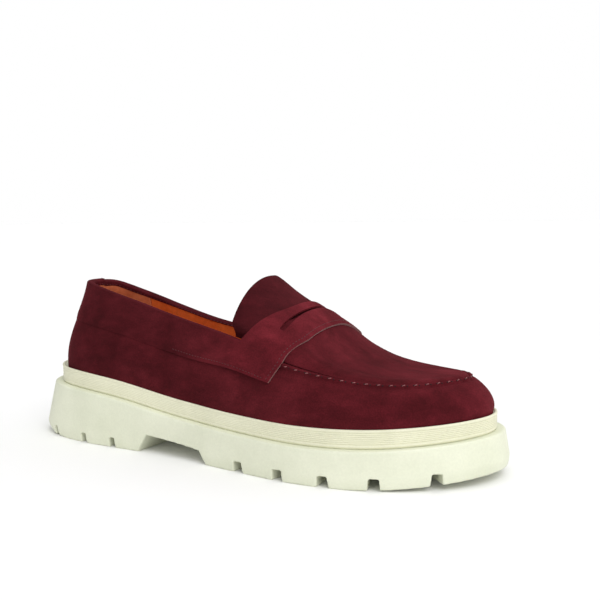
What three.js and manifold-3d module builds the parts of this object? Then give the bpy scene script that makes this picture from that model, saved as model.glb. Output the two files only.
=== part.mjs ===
// Penny loafer, right shoe, on a lugged unit sole.
// Millimetres. +X runs from heel to toe, +Y to the medial side, +Z up from the ground.
// The origin of the finished part is the bottom centre of its bounding box.

import * as THREE from "three";
import { mergeVertices } from "three/addons/utils/BufferGeometryUtils.js";
import Module from "manifold-3d";

const wasm = await Module();
wasm.setup();

// ---------------------------------------------------------------- driving dimensions

// Plan of the sole's ledge, anticlockwise from the heel along the lateral side.
const LEDGE_PLAN = [
  [0, 0], [4.5, -20], [17.5, -33], [45, -40], [85, -41.5], [125, -44.5], [165, -51], [205, -56],
  [240, -52], [268, -40.5], [289, -22], [299.5, 2], [295, 22.5], [280, 39], [254.5, 48.5], [220, 53],
  [185, 50.5], [150, 45], [115, 40], [80, 38], [45, 37.5], [17.5, 31.5], [4.5, 19],
];

// Heights along the shoe, as [x, z].
const LEDGE_HEIGHT = [[0, 35.2], [60, 31.3], [120, 23.4], [180, 20.2], [240, 20.3], [300, 25.4]];
const FEATHER_HEIGHT = [[0, 45.8], [60, 41.6], [120, 33.3], [180, 29.8], [240, 30.2], [300, 34.6]];
const GROUND_HEIGHT = [[-10, 3], [14, 0.3], [34, 0], [236, 0], [264, 1.7], [301, 6]];

// The welt stands in from the ledge, and the upper stands in from the welt, as [x, inset].
const WELT_INSET = 4.4;
const UPPER_INSET = [[4, 6], [14, 3.6], [40, 0.9], [240, 0.9], [280, 1.6], [296, 2.2]];

// The line that is the moccasin seam in front and the topline behind: its height, and how far
// it stands in from the upper's foot, on each side.
const SEAM_HEIGHT = {
  lateral: [[0, 100.2], [20, 99.6], [45, 96.4], [76, 89.6], [109, 81.4], [132, 76.8], [157, 72.2], [178, 67],
    [200, 61.2], [216, 57.8], [234, 54.4], [255, 52.6], [280, 52.8], [297, 53.5]],
  medial: [[0, 100.2], [20, 98], [45, 91.6], [76, 82.4], [109, 73.6], [132, 69], [157, 66.5], [178, 63.3],
    [200, 58], [216, 55], [234, 53], [255, 52.4], [280, 52.8], [297, 53.5]],
};
const SEAM_INSET = {
  lateral: [[0, 17.5], [12, 16], [30, 13], [60, 10.2], [110, 9], [157, 6.5], [185, 3], [205, 3.5],
    [230, 7], [255, 10], [280, 12], [297, 13]],
  medial: [[0, 17.5], [12, 16], [30, 12.8], [60, 9.8], [110, 10], [157, 7.5], [185, 4], [205, 4],
    [230, 7], [255, 10], [280, 12], [297, 13]],
};
// Slope of the upper at that line, in degrees, and how far the wall below it bellies out.
const SEAM_SLOPE = [[0, 78], [150, 78], [180, 88], [205, 80], [230, 50], [255, 36], [280, 28], [297, 26]];
const WALL_BELLY = [[0, 0.8], [60, 0.9], [150, 1], [200, 1.6], [250, 1.5], [297, 2]];
// The wall's curve handles: their length as a share of its height, and how far the belly pulls them out.
const WALL_HANDLE = 0.38;
const BELLY_PULL = 1.6;
const ROOF_FULLNESS = { lateral: 0.55, medial: 0.44 };
// Where the upper lies nearly flat at the seam, the roof's first handle is worked out from this sine.
const LEAST_SLOPE_SINE = 0.3;

// The ridge over the instep, and how far its ends draw in from the toe and the heel.
const RIDGE_HEIGHT = [
  [0, 112], [60, 112], [140, 111], [150, 108.5], [160, 104.3], [170, 97.2], [180, 90.8], [190, 85.2],
  [203, 77], [211, 70], [222, 62.5], [235, 57.6], [253, 54.8], [265, 54.4],
];
const RIDGE_OFFSET = [[0, 0], [150, 2], [200, 2], [265, 4]];
const TOE_FAN = { start: 222, draw: 34 };
const HEEL_FAN = { start: 62, draw: 30 };

// Layers of the upper, as distances out from its outer skin.
const SKIN = [-1.4, 0];
const STIFFENER = [-2.9, -1.8];
const LINING = [-4.2, -3.2];
const OVERLAY = [0.35, 1.9];
const TONGUE_BACK = [-2.6, -1.7];
const GAP = 0.3;

// Saddle strap: x of its back edge, slot and front edge against rise (0 foot, 1 seam, 2 ridge).
const STRAP_BACK = [[1, 164], [1.16, 171], [1.36, 177], [1.6, 181.5], [2, 183]];
const STRAP_SLOT = [[0.6, 176], [1, 183], [1.29, 188.5], [2, 188.5]];
const STRAP_FRONT = [[0.6, 187], [1, 195.5], [1.2, 200], [1.4, 202.5], [2, 202.5]];
const SADDLE_FOOT = 0.6;
const SLOT_END = 1.29;
const SLOT_WIDTH = 2.2;

const TONGUE_REAR = [[1, 153.5], [1.1, 154.5], [1.4, 157], [2, 159.5]];
const TONGUE_FOOT = 1.06;
const TONGUE_CLEARANCE = 0.7;

const HEEL_GRIP_END = 52;
const QUARTER_END = 163.5;
const COUNTER_END = 95;
const TOE_PUFF_START = 250;
const BACK_SEAM = 0.002;

// Sole.
const HEEL_FLARE = { reach: 30, size: 9 };
const TOE_FLARE = { start: 270, size: 1.5 };
const SIDE_FLARE = 1;
const TREAD_BEVEL = { height: 5.5, side: 0.9, heel: 4.5 };
const ARCH = [[88.5, -2], [97, 11], [122, 9.2], [139, 7.6], [145, -2]];
const ARCH_REACH = 80;
const NOTCH_HEIGHT = 6.2;
const NOTCH_LENGTH = 20;
// How much wider a notch is on each side where it opens, and how far its cutter starts outside the ledge.
const NOTCH_DRAFT = 0.7;
const NOTCH_OVERHANG = 12;
const FOREFOOT_NOTCHES = { at: [168.5, 196, 223, 249.5, 277.5], width: 5.6 };
const HEEL_NOTCHES = { at: [17, 45.3, 69.3], width: 3.8 };
const TREAD_DEPTH = 4.5;
const TREAD_GROOVE = 5;
// Tread grooves: those along the shoe as [x0, x1, y], those across it as [x, y0, y1].
const GROOVES_ALONG = [[154, 262, -26], [154, 262, 25], [24, 80, -18], [24, 80, 17]];
const GROOVES_ACROSS = [
  [264.5, -28.5, 27.5], [154, -28.5, 27.5], [182, -27, 26], [209.5, -27, 26], [236, -27, 26],
  [24, -20.5, 19.5], [57, -19, 18], [80, -20.5, 19.5],
];
// How far a cutter reaches past the surface that it opens.
const CUT_PAST = 3;
const WELT_WIDTH = 14;
const PLATE_DRAW_IN = [[0, 1.2], [30, 0], [225, 0], [262, 2], [296, 4]];
const SHANK = { start: 72, end: 166, halfWidth: 7, top: 0.9, thickness: 1.3 };

// Plates inside the upper: how far in from the feather line, and their faces' heights above it.
const INSOLE_BOARD = { within: 4.9, from: 0.4, to: 2.2 };
const FOOTBED_FOAM = { within: 5.1, from: 2.5, to: 5.5 };
const SOCK_LINING = { within: 5.3, from: 5.8, to: 6.8 };

// Where the forefoot panels start, behind the strap's back edge, and the tongue lining's trim.
const APRON_BEHIND = 1;
const VAMP_LINING_BEHIND = 1.5;
const TONGUE_LINING_TRIM = { foot: 0.02, edges: 0.5 };

const THREAD_RADIUS = 0.5;
// The saddle's stitch line, above its foot and in from the strap's front edge.
const STITCH_RISE = 0.06;
const STITCH_INSET = 2.4;

const COLOURS = {
  suede: 0x571c22, lining: 0xb4541f, sock: 0xb9602c, sole: 0xe6e5d0, cork: 0xb08a5c,
  board: 0x8c6a45, steel: 0x8b8f94, foam: 0xe7dfc9, stiffener: 0xd9d3c3, thread: 0x6d2028,
};

// ---------------------------------------------------------------- curve tools

// A smooth function of one number through the given [x, value] pairs. Equal neighbours stay level.
function through(pairs) {
  const last = pairs.length - 1;
  const step = (i) => pairs[i + 1][0] - pairs[i][0];
  const slope = (i) => (pairs[i + 1][1] - pairs[i][1]) / step(i);
  const tangent = pairs.map((_, i) => {
    if (i === 0) return slope(0);
    if (i === last) return slope(last - 1);
    if (slope(i - 1) === 0 || slope(i) === 0) return 0;
    return (step(i - 1) * slope(i) + step(i) * slope(i - 1)) / (step(i - 1) + step(i));
  });
  return (value) => {
    const x = THREE.MathUtils.clamp(value, pairs[0][0], pairs[last][0]);
    let i = 0;
    while (i < last - 1 && x >= pairs[i + 1][0]) i += 1;
    const h = step(i);
    const t = (x - pairs[i][0]) / h;
    const near = (2 * t ** 3 - 3 * t ** 2 + 1) * pairs[i][1] + (t ** 3 - 2 * t ** 2 + t) * h * tangent[i];
    const far = (3 * t ** 2 - 2 * t ** 3) * pairs[i + 1][1] + (t ** 3 - t ** 2) * h * tangent[i + 1];
    return near + far;
  };
}

const interpolate = (a, b, t) => a + (b - a) * t;
const clamp01 = (value) => THREE.MathUtils.clamp(value, 0, 1);

// The ledge as many evenly spaced points, with the corners between the plan's points eased.
function smoothOutline(plan, count = 720, passes = 60) {
  const curve = new THREE.CatmullRomCurve3(plan.map(([x, y]) => new THREE.Vector3(x, y, 0)), true);
  curve.arcLengthDivisions = 4 * count;
  let points = curve.getSpacedPoints(count).slice(0, count);
  for (let pass = 0; pass < passes; pass += 1) {
    points = points.map((point, i) => {
      const before = points[(i + count - 1) % count];
      const after = points[(i + 1) % count];
      return point.clone().multiplyScalar(2).add(before).add(after).multiplyScalar(0.25);
    });
  }
  return points;
}

// The outline moved outwards by a distance that may vary with x.
function offsetOutline(points, distance) {
  const count = points.length;
  return points.map((point, i) => {
    const along = points[(i + 1) % count].clone().sub(points[(i + count - 1) % count]).normalize();
    const outward = new THREE.Vector3(along.y, -along.x, 0);
    return point.clone().addScaledVector(outward, distance(point.x));
  });
}

// An outline split at heel and toe. Each side is a function of w, 0 at the heel and 1 at the toe,
// and both sides have the same x at the same w.
function splitOutline(points) {
  const count = points.length;
  let heel = 0;
  let toe = 0;
  points.forEach((point, i) => {
    if (point.x < points[heel].x) heel = i;
    if (point.x > points[toe].x) toe = i;
  });
  const walk = (from, to, direction) => {
    const side = [];
    for (let i = from; i !== to; i = (i + direction + count) % count) side.push(points[i]);
    side.push(points[to]);
    return side;
  };
  const start = points[heel].x;
  const end = points[toe].x;
  const cosineOf = (x) => THREE.MathUtils.clamp(1 - (2 * (x - start)) / (end - start), -1, 1);
  const wOf = (x) => Math.acos(cosineOf(x)) / Math.PI;
  const sides = { lateral: walk(heel, toe, 1), medial: walk(heel, toe, -1) };
  const keys = { lateral: sides.lateral.map((p) => wOf(p.x)), medial: sides.medial.map((p) => wOf(p.x)) };
  const at = (side, w) => {
    const key = keys[side];
    let low = 0;
    let high = key.length - 1;
    while (high - low > 1) {
      const middle = (low + high) >> 1;
      if (key[middle] <= w) low = middle;
      else high = middle;
    }
    const share = clamp01((w - key[low]) / (key[high] - key[low]));
    return sides[side][low].clone().lerp(sides[side][high], share);
  };
  return { at, wOf, start, end };
}

const ledgeHeight = through(LEDGE_HEIGHT);
const featherHeight = through(FEATHER_HEIGHT);
const groundHeight = through(GROUND_HEIGHT);
const upperInset = through(UPPER_INSET);

const ledgePoints = smoothOutline(LEDGE_PLAN);
const weltPoints = offsetOutline(ledgePoints, () => -WELT_INSET);
const featherPoints = offsetOutline(weltPoints, (x) => -upperInset(x));
const feather = splitOutline(featherPoints);

// ---------------------------------------------------------------- outer surface of the upper

const seamHeight = { lateral: through(SEAM_HEIGHT.lateral), medial: through(SEAM_HEIGHT.medial) };
const seamInset = { lateral: through(SEAM_INSET.lateral), medial: through(SEAM_INSET.medial) };
const seamSlope = through(SEAM_SLOPE);
const wallBelly = through(WALL_BELLY);
const ridgeHeight = through(RIDGE_HEIGHT);
const ridgeOffset = through(RIDGE_OFFSET);

function ridgePoint(w) {
  const x = interpolate(feather.start, feather.end, (1 - Math.cos(Math.PI * w)) / 2);
  const toward = clamp01((x - TOE_FAN.start) / (feather.end - TOE_FAN.start)) ** 2 * TOE_FAN.draw;
  const away = clamp01((HEEL_FAN.start - x) / (HEEL_FAN.start - feather.start)) ** 2 * HEEL_FAN.draw;
  const ridgeX = x - toward + away;
  return new THREE.Vector3(ridgeX, ridgeOffset(ridgeX), ridgeHeight(ridgeX));
}

// The section at w on one side: a wall from the foot to the seam, and a roof from there to the ridge.
const sectionCache = new Map();
function section(side, w) {
  const key = side + w.toFixed(6);
  if (sectionCache.has(key)) return sectionCache.get(key);
  const foot = feather.at(side, w);
  const x = foot.x;
  foot.z = featherHeight(x) + GAP;
  const ridge = ridgePoint(w);
  const inward = ridge.clone().sub(foot).setZ(0);
  const reach = inward.length();
  inward.normalize();
  const inset = seamInset[side](x);
  const seam = foot.clone().addScaledVector(inward, inset).setZ(seamHeight[side](x));
  const slope = THREE.MathUtils.degToRad(seamSlope(x));
  const tangent = inward.clone().multiplyScalar(Math.cos(slope)).setZ(Math.sin(slope));
  const handle = WALL_HANDLE * (seam.z - foot.z);
  const roofHeight = ridge.z - seam.z;
  const full = ROOF_FULLNESS[side];
  const wall = new THREE.CubicBezierCurve3(
    foot,
    foot.clone().addScaledVector(inward, -BELLY_PULL * wallBelly(x)).setZ(foot.z + handle),
    seam.clone().addScaledVector(tangent, -handle),
    seam,
  );
  const roof = new THREE.CubicBezierCurve3(
    seam,
    seam.clone().addScaledVector(tangent, (full * roofHeight) / Math.max(Math.sin(slope), LEAST_SLOPE_SINE)),
    ridge.clone().addScaledVector(inward, -full * (reach - inset)),
    ridge,
  );
  const made = { wall, roof };
  sectionCache.set(key, made);
  return made;
}

// Ring runs round the shoe: 0 heel, 1 toe along the lateral side, 2 heel again along the medial side.
// Rise is 0 at the foot of the wall, 1 at the seam and 2 at the ridge.
function upperPoint(ring, rise) {
  if (rise > 2) return upperPoint(2 - ring, 4 - rise);
  const turn = ((ring % 2) + 2) % 2;
  const side = turn <= 1 ? "lateral" : "medial";
  const w = turn <= 1 ? turn : 2 - turn;
  const { wall, roof } = section(side, w);
  return rise <= 1 ? wall.getPointAt(clamp01(rise)) : roof.getPointAt(clamp01(rise - 1));
}

function upperFrame(ring, rise) {
  const nudge = 0.002;
  const low = Math.max(rise - nudge, 0);
  const along = upperPoint(ring + nudge, rise).sub(upperPoint(ring - nudge, rise));
  const up = upperPoint(ring, rise + nudge).sub(upperPoint(ring, low));
  return { point: upperPoint(ring, rise), normal: along.cross(up).normalize() };
}

const ringOf = (side, x) => (side === "lateral" ? feather.wOf(x) : 2 - feather.wOf(x));

// ---------------------------------------------------------------- solid makers

function geometryFrom(points, triangles) {
  const geometry = new THREE.BufferGeometry();
  geometry.setAttribute("position", new THREE.Float32BufferAttribute(points.flatMap((p) => p.toArray()), 3));
  geometry.setIndex(triangles.flat());
  geometry.computeVertexNormals();
  return geometry;
}

// A panel of even thickness over cells of the upper. Each cell is four [ring, rise] corners.
function panel(cells, [inner, outer]) {
  const index = new Map();
  const frames = [];
  const cornerId = ([ring, rise]) => {
    const frame = upperFrame(ring, rise);
    const key = frame.point.toArray().map((value) => Math.round(value * 500)).join();
    if (!index.has(key)) {
      index.set(key, frames.length);
      frames.push(frame);
    }
    return index.get(key);
  };
  const faces = [];
  for (const cell of cells) {
    const [a, b, c, d] = cell.map(cornerId);
    if (new Set([a, b, c]).size === 3) faces.push([a, b, c]);
    if (new Set([a, c, d]).size === 3) faces.push([a, c, d]);
  }
  const count = frames.length;
  const layer = (distance) =>
    frames.map(({ point, normal }) => point.clone().addScaledVector(normal, distance));
  const edges = new Set(faces.flatMap(([a, b, c]) => [`${a},${b}`, `${b},${c}`, `${c},${a}`]));
  const rim = [];
  for (const edge of edges) {
    const [a, b] = edge.split(",").map(Number);
    if (!edges.has(`${b},${a}`)) rim.push([a, a + count, b + count], [a, b + count, b]);
  }
  const inside = faces.map(([a, b, c]) => [a + count, c + count, b + count]);
  return geometryFrom([...layer(outer), ...layer(inner)], [...faces, ...inside, ...rim]);
}

// Cells of a patch: columns and rows of fractions, and a rule that turns them into [ring, rise].
function patch(columns, rows, place, keep = () => true) {
  const cells = [];
  for (let j = 0; j + 1 < rows.length; j += 1) {
    for (let i = 0; i + 1 < columns.length; i += 1) {
      const corners = [[i, j], [i + 1, j], [i + 1, j + 1], [i, j + 1]];
      if (keep(i, j)) cells.push(corners.map(([c, r]) => place(columns[c], rows[r])));
    }
  }
  return cells;
}

const plainPatch = (rings, rises) => patch(rings, rises, (ring, rise) => [ring, rise]);

// Values of ring from one to another, with every station of the shoe between them.
const STATIONS_PER_SIDE = 26;
function stations(from, to) {
  const inside = [];
  for (let i = Math.ceil(from * STATIONS_PER_SIDE); i <= to * STATIONS_PER_SIDE; i += 1) {
    const ring = i / STATIONS_PER_SIDE;
    if (ring - from > 0.008 && to - ring > 0.008) inside.push(ring);
  }
  return [from, ...inside, to];
}

// A solid through stacked outlines, each with a height that varies along the shoe.
function loft(levels, perSide = 26) {
  const points = [];
  for (const { outline, height } of levels) {
    const place = (side, i) => {
      const point = outline.at(side, i / perSide);
      points.push(point.setZ(height(point.x)));
    };
    for (let i = 0; i <= perSide; i += 1) place("lateral", i);
    for (let i = perSide - 1; i > 0; i -= 1) place("medial", i);
  }
  const around = 2 * perSide;
  const triangles = [];
  for (let level = 0; level + 1 < levels.length; level += 1) {
    for (let i = 0; i < around; i += 1) {
      const a = level * around + i;
      const b = level * around + ((i + 1) % around);
      triangles.push([a, b, b + around], [a, b + around, a + around]);
    }
  }
  const cap = (base, flip) => {
    for (let i = 0; i < perSide; i += 1) {
      const lateral = [base + i, base + i + 1];
      const medial = [base + ((around - i) % around), base + around - i - 1];
      const first = [lateral[0], lateral[1], medial[1]];
      const second = [lateral[0], medial[1], medial[0]];
      for (const face of [first, second]) {
        if (new Set(face).size === 3) triangles.push(flip ? face.reverse() : face);
      }
    }
  };
  cap(0, true);
  cap((levels.length - 1) * around, false);
  return geometryFrom(points, triangles);
}

// A straight-sided strip along the shoe that follows two heights.
function strip(from, to, halfWidth, low, high, steps = 8) {
  const points = [];
  for (let i = 0; i <= steps; i += 1) {
    const x = interpolate(from, to, i / steps);
    points.push(new THREE.Vector3(x, -halfWidth, low(x)), new THREE.Vector3(x, halfWidth, low(x)));
    points.push(new THREE.Vector3(x, halfWidth, high(x)), new THREE.Vector3(x, -halfWidth, high(x)));
  }
  const triangles = [[0, 2, 1], [0, 3, 2]];
  for (let i = 0; i < steps; i += 1) {
    for (let k = 0; k < 4; k += 1) {
      const a = 4 * i + k;
      const b = 4 * i + ((k + 1) % 4);
      triangles.push([a, b, b + 4], [a, b + 4, a + 4]);
    }
  }
  const end = 4 * steps;
  triangles.push([end, end + 1, end + 2], [end, end + 2, end + 3]);
  return geometryFrom(points, triangles);
}

// A round tube along points.
function tube(points, radius, steps) {
  const sides = 6;
  const corners = [];
  for (let i = 0; i < sides; i += 1) {
    const angle = (2 * Math.PI * i) / sides;
    corners.push(new THREE.Vector2(radius * Math.cos(angle), radius * Math.sin(angle)));
  }
  const extrudePath = new THREE.CatmullRomCurve3(points);
  return new THREE.ExtrudeGeometry(new THREE.Shape(corners), { steps, extrudePath, bevelEnabled: false });
}

// A prism over a closed outline in x and z, running along y.
function prism(outline, from, to) {
  const shape = new THREE.Shape(outline.map(([x, z]) => new THREE.Vector2(x, z)));
  const geometry = new THREE.ExtrudeGeometry(shape, { depth: to - from, bevelEnabled: false });
  return geometry.rotateX(Math.PI / 2).translate(0, to, 0);
}

const block = (x0, x1, y0, y1, z0, z1) =>
  new THREE.BoxGeometry(x1 - x0, y1 - y0, z1 - z0).translate((x0 + x1) / 2, (y0 + y1) / 2, (z0 + z1) / 2);

function solidOf(geometry) {
  const bare = geometry.index ? geometry.clone() : geometry;
  bare.deleteAttribute("normal");
  bare.deleteAttribute("uv");
  const merged = mergeVertices(bare, 1e-4);
  const mesh = new wasm.Mesh({
    numProp: 3,
    vertProperties: new Float32Array(merged.attributes.position.array),
    triVerts: new Uint32Array(merged.index.array),
  });
  return new wasm.Manifold(mesh);
}

function geometryOf(solid) {
  const mesh = solid.getMesh();
  const geometry = new THREE.BufferGeometry();
  geometry.setAttribute("position", new THREE.BufferAttribute(mesh.vertProperties, 3));
  geometry.setIndex(new THREE.BufferAttribute(mesh.triVerts, 1));
  geometry.computeVertexNormals();
  return geometry;
}

const cut = (geometry, cutters) =>
  geometryOf(cutters.reduce((solid, cutter) => solid.subtract(solidOf(cutter)), solidOf(geometry)));

// ---------------------------------------------------------------- sole

const flare = (x) =>
  SIDE_FLARE +
  HEEL_FLARE.size * clamp01(1 - x / HEEL_FLARE.reach) ** 2 +
  TOE_FLARE.size * clamp01((x - TOE_FLARE.start) / 30);
const treadBevel = (x) =>
  interpolate(TREAD_BEVEL.side, TREAD_BEVEL.heel, clamp01(1 - x / HEEL_FLARE.reach) ** 2);

const ledge = splitOutline(ledgePoints);
const lugWall = splitOutline(offsetOutline(ledgePoints, flare));
const tread = splitOutline(offsetOutline(ledgePoints, (x) => flare(x) - treadBevel(x)));

// A notch across the edge of the tread, square to the outline, with slightly leaning sides.
function notch(side, x, width) {
  const w = ledge.wOf(x);
  const point = ledge.at(side, w);
  const along = ledge.at(side, w + 0.01).sub(ledge.at(side, w - 0.01));
  const half = width / 2;
  const mouth = half + NOTCH_DRAFT;
  const outline = [[-mouth, -CUT_PAST], [mouth, -CUT_PAST], [half, NOTCH_HEIGHT], [-half, NOTCH_HEIGHT]];
  const reach = side === "lateral" ? [-NOTCH_OVERHANG, NOTCH_LENGTH] : [-NOTCH_LENGTH, NOTCH_OVERHANG];
  const angle = Math.atan2(along.y, along.x);
  return prism(outline, ...reach).rotateZ(angle).translate(point.x, point.y, groundHeight(x));
}

function treadCutters() {
  const cutters = [prism(ARCH, -ARCH_REACH, ARCH_REACH)];
  for (const { at, width } of [FOREFOOT_NOTCHES, HEEL_NOTCHES]) {
    for (const x of at) cutters.push(notch("lateral", x, width), notch("medial", x, width));
  }
  const half = TREAD_GROOVE / 2;
  const groove = (x0, x1, y0, y1) => cutters.push(block(x0, x1, y0, y1, -CUT_PAST, TREAD_DEPTH));
  for (const [x0, x1, y] of GROOVES_ALONG) groove(x0, x1, y - half, y + half);
  for (const [x, y0, y1] of GROOVES_ACROSS) groove(x - half, x + half, y0, y1);
  return cutters;
}

function outsole() {
  const body = loft([
    { outline: tread, height: groundHeight },
    { outline: lugWall, height: (x) => groundHeight(x) + TREAD_BEVEL.height },
    { outline: ledge, height: ledgeHeight },
  ]);
  return cut(body, treadCutters());
}

const weltBottom = (x) => ledgeHeight(x) + GAP;
const inset = (points, distance) => splitOutline(offsetOutline(points, () => -distance));

function midsoleWelt() {
  const outline = splitOutline(weltPoints);
  const hollow = inset(weltPoints, WELT_WIDTH);
  const ring = loft([{ outline, height: weltBottom }, { outline, height: featherHeight }]);
  const core = loft([
    { outline: hollow, height: (x) => weltBottom(x) - CUT_PAST },
    { outline: hollow, height: (x) => featherHeight(x) + CUT_PAST },
  ]);
  return cut(ring, [core]);
}

const shankTop = (x) => featherHeight(x) - SHANK.top;
const shankBottom = (x) => shankTop(x) - SHANK.thickness;

function bottomFiller() {
  const outline = inset(weltPoints, WELT_WIDTH + GAP);
  const body = loft([{ outline, height: weltBottom }, { outline, height: featherHeight }], 22);
  const pocket = strip(
    SHANK.start - GAP,
    SHANK.end + GAP,
    SHANK.halfWidth + GAP,
    (x) => shankBottom(x) - GAP,
    (x) => featherHeight(x) + CUT_PAST,
  );
  return cut(body, [pocket]);
}

function shank() {
  return strip(SHANK.start, SHANK.end, SHANK.halfWidth, shankBottom, shankTop);
}

// A plate inside the upper, from one height above the feather line to another.
const plateDrawIn = through(PLATE_DRAW_IN);
function plate({ within, from, to }) {
  const outline = splitOutline(offsetOutline(featherPoints, (x) => -within - plateDrawIn(x)));
  const height = (rise) => (x) => featherHeight(x) + rise;
  return loft([{ outline, height: height(from) }, { outline, height: height(to) }], 22);
}

// ---------------------------------------------------------------- upper

const WALL_ROWS = [0, 0.3, 0.6, 0.8, 0.98];
const APRON_FOOT = 1.03;
const ROOF_ROWS = [1.15, SLOT_END, 1.5, 1.75, 2];
const COUNTER_ROWS = [0, 0.3, 0.6, 0.72];
const COLLAR_FOAM_ROWS = [0.76, 0.97];
const TOE_PUFF_ROWS = [0, 0.3, 0.6, 0.8, 1, 1.15, 1.29, 1.5];
const edgeOf = { back: through(STRAP_BACK), slot: through(STRAP_SLOT), front: through(STRAP_FRONT) };
const tongueRear = through(TONGUE_REAR);

// Rows that climb one side, cross the ridge and come down the other, as signed rises:
// the sign says which side, and the ridge row belongs to both.
const overRidge = (rows) => [...rows, ...rows.slice(0, -1).reverse().map((rise) => -rise)];
const signedPlace = (xOf) => (fraction, signedRise) => {
  const rise = Math.abs(signedRise);
  const side = signedRise > 0 ? "lateral" : "medial";
  return [ringOf(side, xOf(fraction, rise)), rise];
};

function vamp() {
  return panel(plainPatch(stations(BACK_SEAM, 2 - BACK_SEAM), WALL_ROWS), SKIN);
}

// A dome over the forefoot, open at a rear edge that follows the strap's back edge.
function forefootDome(rows, behind, layer, columns = 12) {
  const fractions = [];
  for (let i = 0; i <= 2 * columns; i += 1) fractions.push(i / columns);
  const place = (fraction, rise) => {
    const start = feather.wOf(edgeOf.back(rise) + behind);
    const w = interpolate(start, 1, fraction <= 1 ? fraction : 2 - fraction);
    return [fraction <= 1 ? w : 2 - w, rise];
  };
  return panel(patch(fractions, rows, place), layer);
}

function saddleStrap() {
  const half = SLOT_WIDTH / 2;
  const columns = [0, 1, 2, 3, 4, 5];
  const xOf = (column, rise) => {
    const [back, slot, front] = [edgeOf.back(rise), edgeOf.slot(rise), edgeOf.front(rise)];
    const [near, far] = [slot - half, slot + half];
    return [back, (back + near) / 2, near, far, (far + front) / 2, front][column];
  };
  const rows = overRidge([SADDLE_FOOT, 0.8, 1, APRON_FOOT, ...ROOF_ROWS]);
  const inSlot = (i, j) => i === 2 && Math.min(Math.abs(rows[j]), Math.abs(rows[j + 1])) >= SLOT_END;
  const strap = patch(columns, rows, signedPlace(xOf), (i, j) => !inSlot(i, j));
  const tailEnd = feather.wOf(edgeOf.back(1));
  const tailRows = [SADDLE_FOOT, 0.8, 1];
  const lateralTail = plainPatch(stations(BACK_SEAM, tailEnd), tailRows);
  const medialTail = plainPatch(stations(2 - tailEnd, 2 - BACK_SEAM), tailRows);
  return panel([...strap, ...lateralTail, ...medialTail], OVERLAY);
}

function tonguePanel(layer, foot, trim) {
  const rows = overRidge([foot, ...ROOF_ROWS]);
  const xOf = (fraction, rise) =>
    interpolate(tongueRear(rise) + trim, edgeOf.back(rise) - TONGUE_CLEARANCE - trim, fraction);
  return panel(patch([0, 0.25, 0.5, 0.75, 1], rows, signedPlace(xOf)), layer);
}

function quarterLining(side) {
  const near = ringOf(side, HEEL_GRIP_END + GAP);
  const far = ringOf(side, QUARTER_END);
  return panel(plainPatch(stations(Math.min(near, far), Math.max(near, far)), WALL_ROWS), LINING);
}

// A panel that wraps round the heel as far forward as x on both sides.
function heelWrap(x, rises, layer) {
  const reach = feather.wOf(x);
  return panel(plainPatch(stations(-reach, reach), rises), layer);
}

function toePuff() {
  const reach = feather.wOf(TOE_PUFF_START);
  return panel(plainPatch(stations(reach, 2 - reach), TOE_PUFF_ROWS), STIFFENER);
}

// ---------------------------------------------------------------- threads

function threadAbove(places, height) {
  return places.map(([ring, rise]) => {
    const { point, normal } = upperFrame(ring, rise);
    return point.addScaledVector(normal, height);
  });
}

function mocSeamThread() {
  const start = feather.wOf(edgeOf.front(1) + 3);
  const places = stations(start, 2 - start).map((ring) => [ring, 1]);
  return tube(threadAbove(places, THREAD_RADIUS + GAP), THREAD_RADIUS, 44);
}

// One line of thread along the saddle's lower edge, up the strap's front edge and down the other side.
function saddleThread() {
  const line = SADDLE_FOOT + STITCH_RISE;
  const frontX = (rise) => edgeOf.front(rise) - STITCH_INSET;
  const low = stations(feather.wOf(8), feather.wOf(178)).map((ring) => [ring, line]);
  const climbRows = [0.74, 0.86, 1, 1.08, 1.15, 1.29, 1.5, 1.75];
  const climb = climbRows.map((rise) => [feather.wOf(frontX(rise)), rise]);
  const lateral = [...low, ...climb];
  const top = [feather.wOf(frontX(2)), 2];
  const medial = lateral.map(([ring, rise]) => [2 - ring, rise]).reverse();
  const height = OVERLAY[1] + GAP + THREAD_RADIUS;
  return tube(threadAbove([...lateral, top, ...medial], height), THREAD_RADIUS, 96);
}

// ---------------------------------------------------------------- assembly

const loafer = new THREE.Group();

function add(name, geometry, color, roughness = 0.9, metalness = 0) {
  const material = new THREE.MeshStandardMaterial({ color, roughness, metalness });
  const mesh = new THREE.Mesh(geometry, material);
  mesh.name = name;
  loafer.add(mesh);
}

add("outsole", outsole(), COLOURS.sole, 0.55);
add("midsole_welt", midsoleWelt(), COLOURS.sole, 0.6);
add("bottom_filler", bottomFiller(), COLOURS.cork);
add("shank", shank(), COLOURS.steel, 0.35, 0.9);
add("insole_board", plate(INSOLE_BOARD), COLOURS.board);
add("footbed_foam", plate(FOOTBED_FOAM), COLOURS.foam);
add("sock_lining", plate(SOCK_LINING), COLOURS.sock, 0.6);

add("vamp", vamp(), COLOURS.suede, 0.95);
add("apron", forefootDome([APRON_FOOT, ...ROOF_ROWS], APRON_BEHIND, SKIN), COLOURS.suede, 0.95);
add("saddle_strap", saddleStrap(), COLOURS.suede, 0.95);
add("tongue", tonguePanel(SKIN, TONGUE_FOOT, 0), COLOURS.suede, 0.95);
const liningFoot = TONGUE_FOOT + TONGUE_LINING_TRIM.foot;
add("tongue_lining", tonguePanel(TONGUE_BACK, liningFoot, TONGUE_LINING_TRIM.edges), COLOURS.lining, 0.5);

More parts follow.
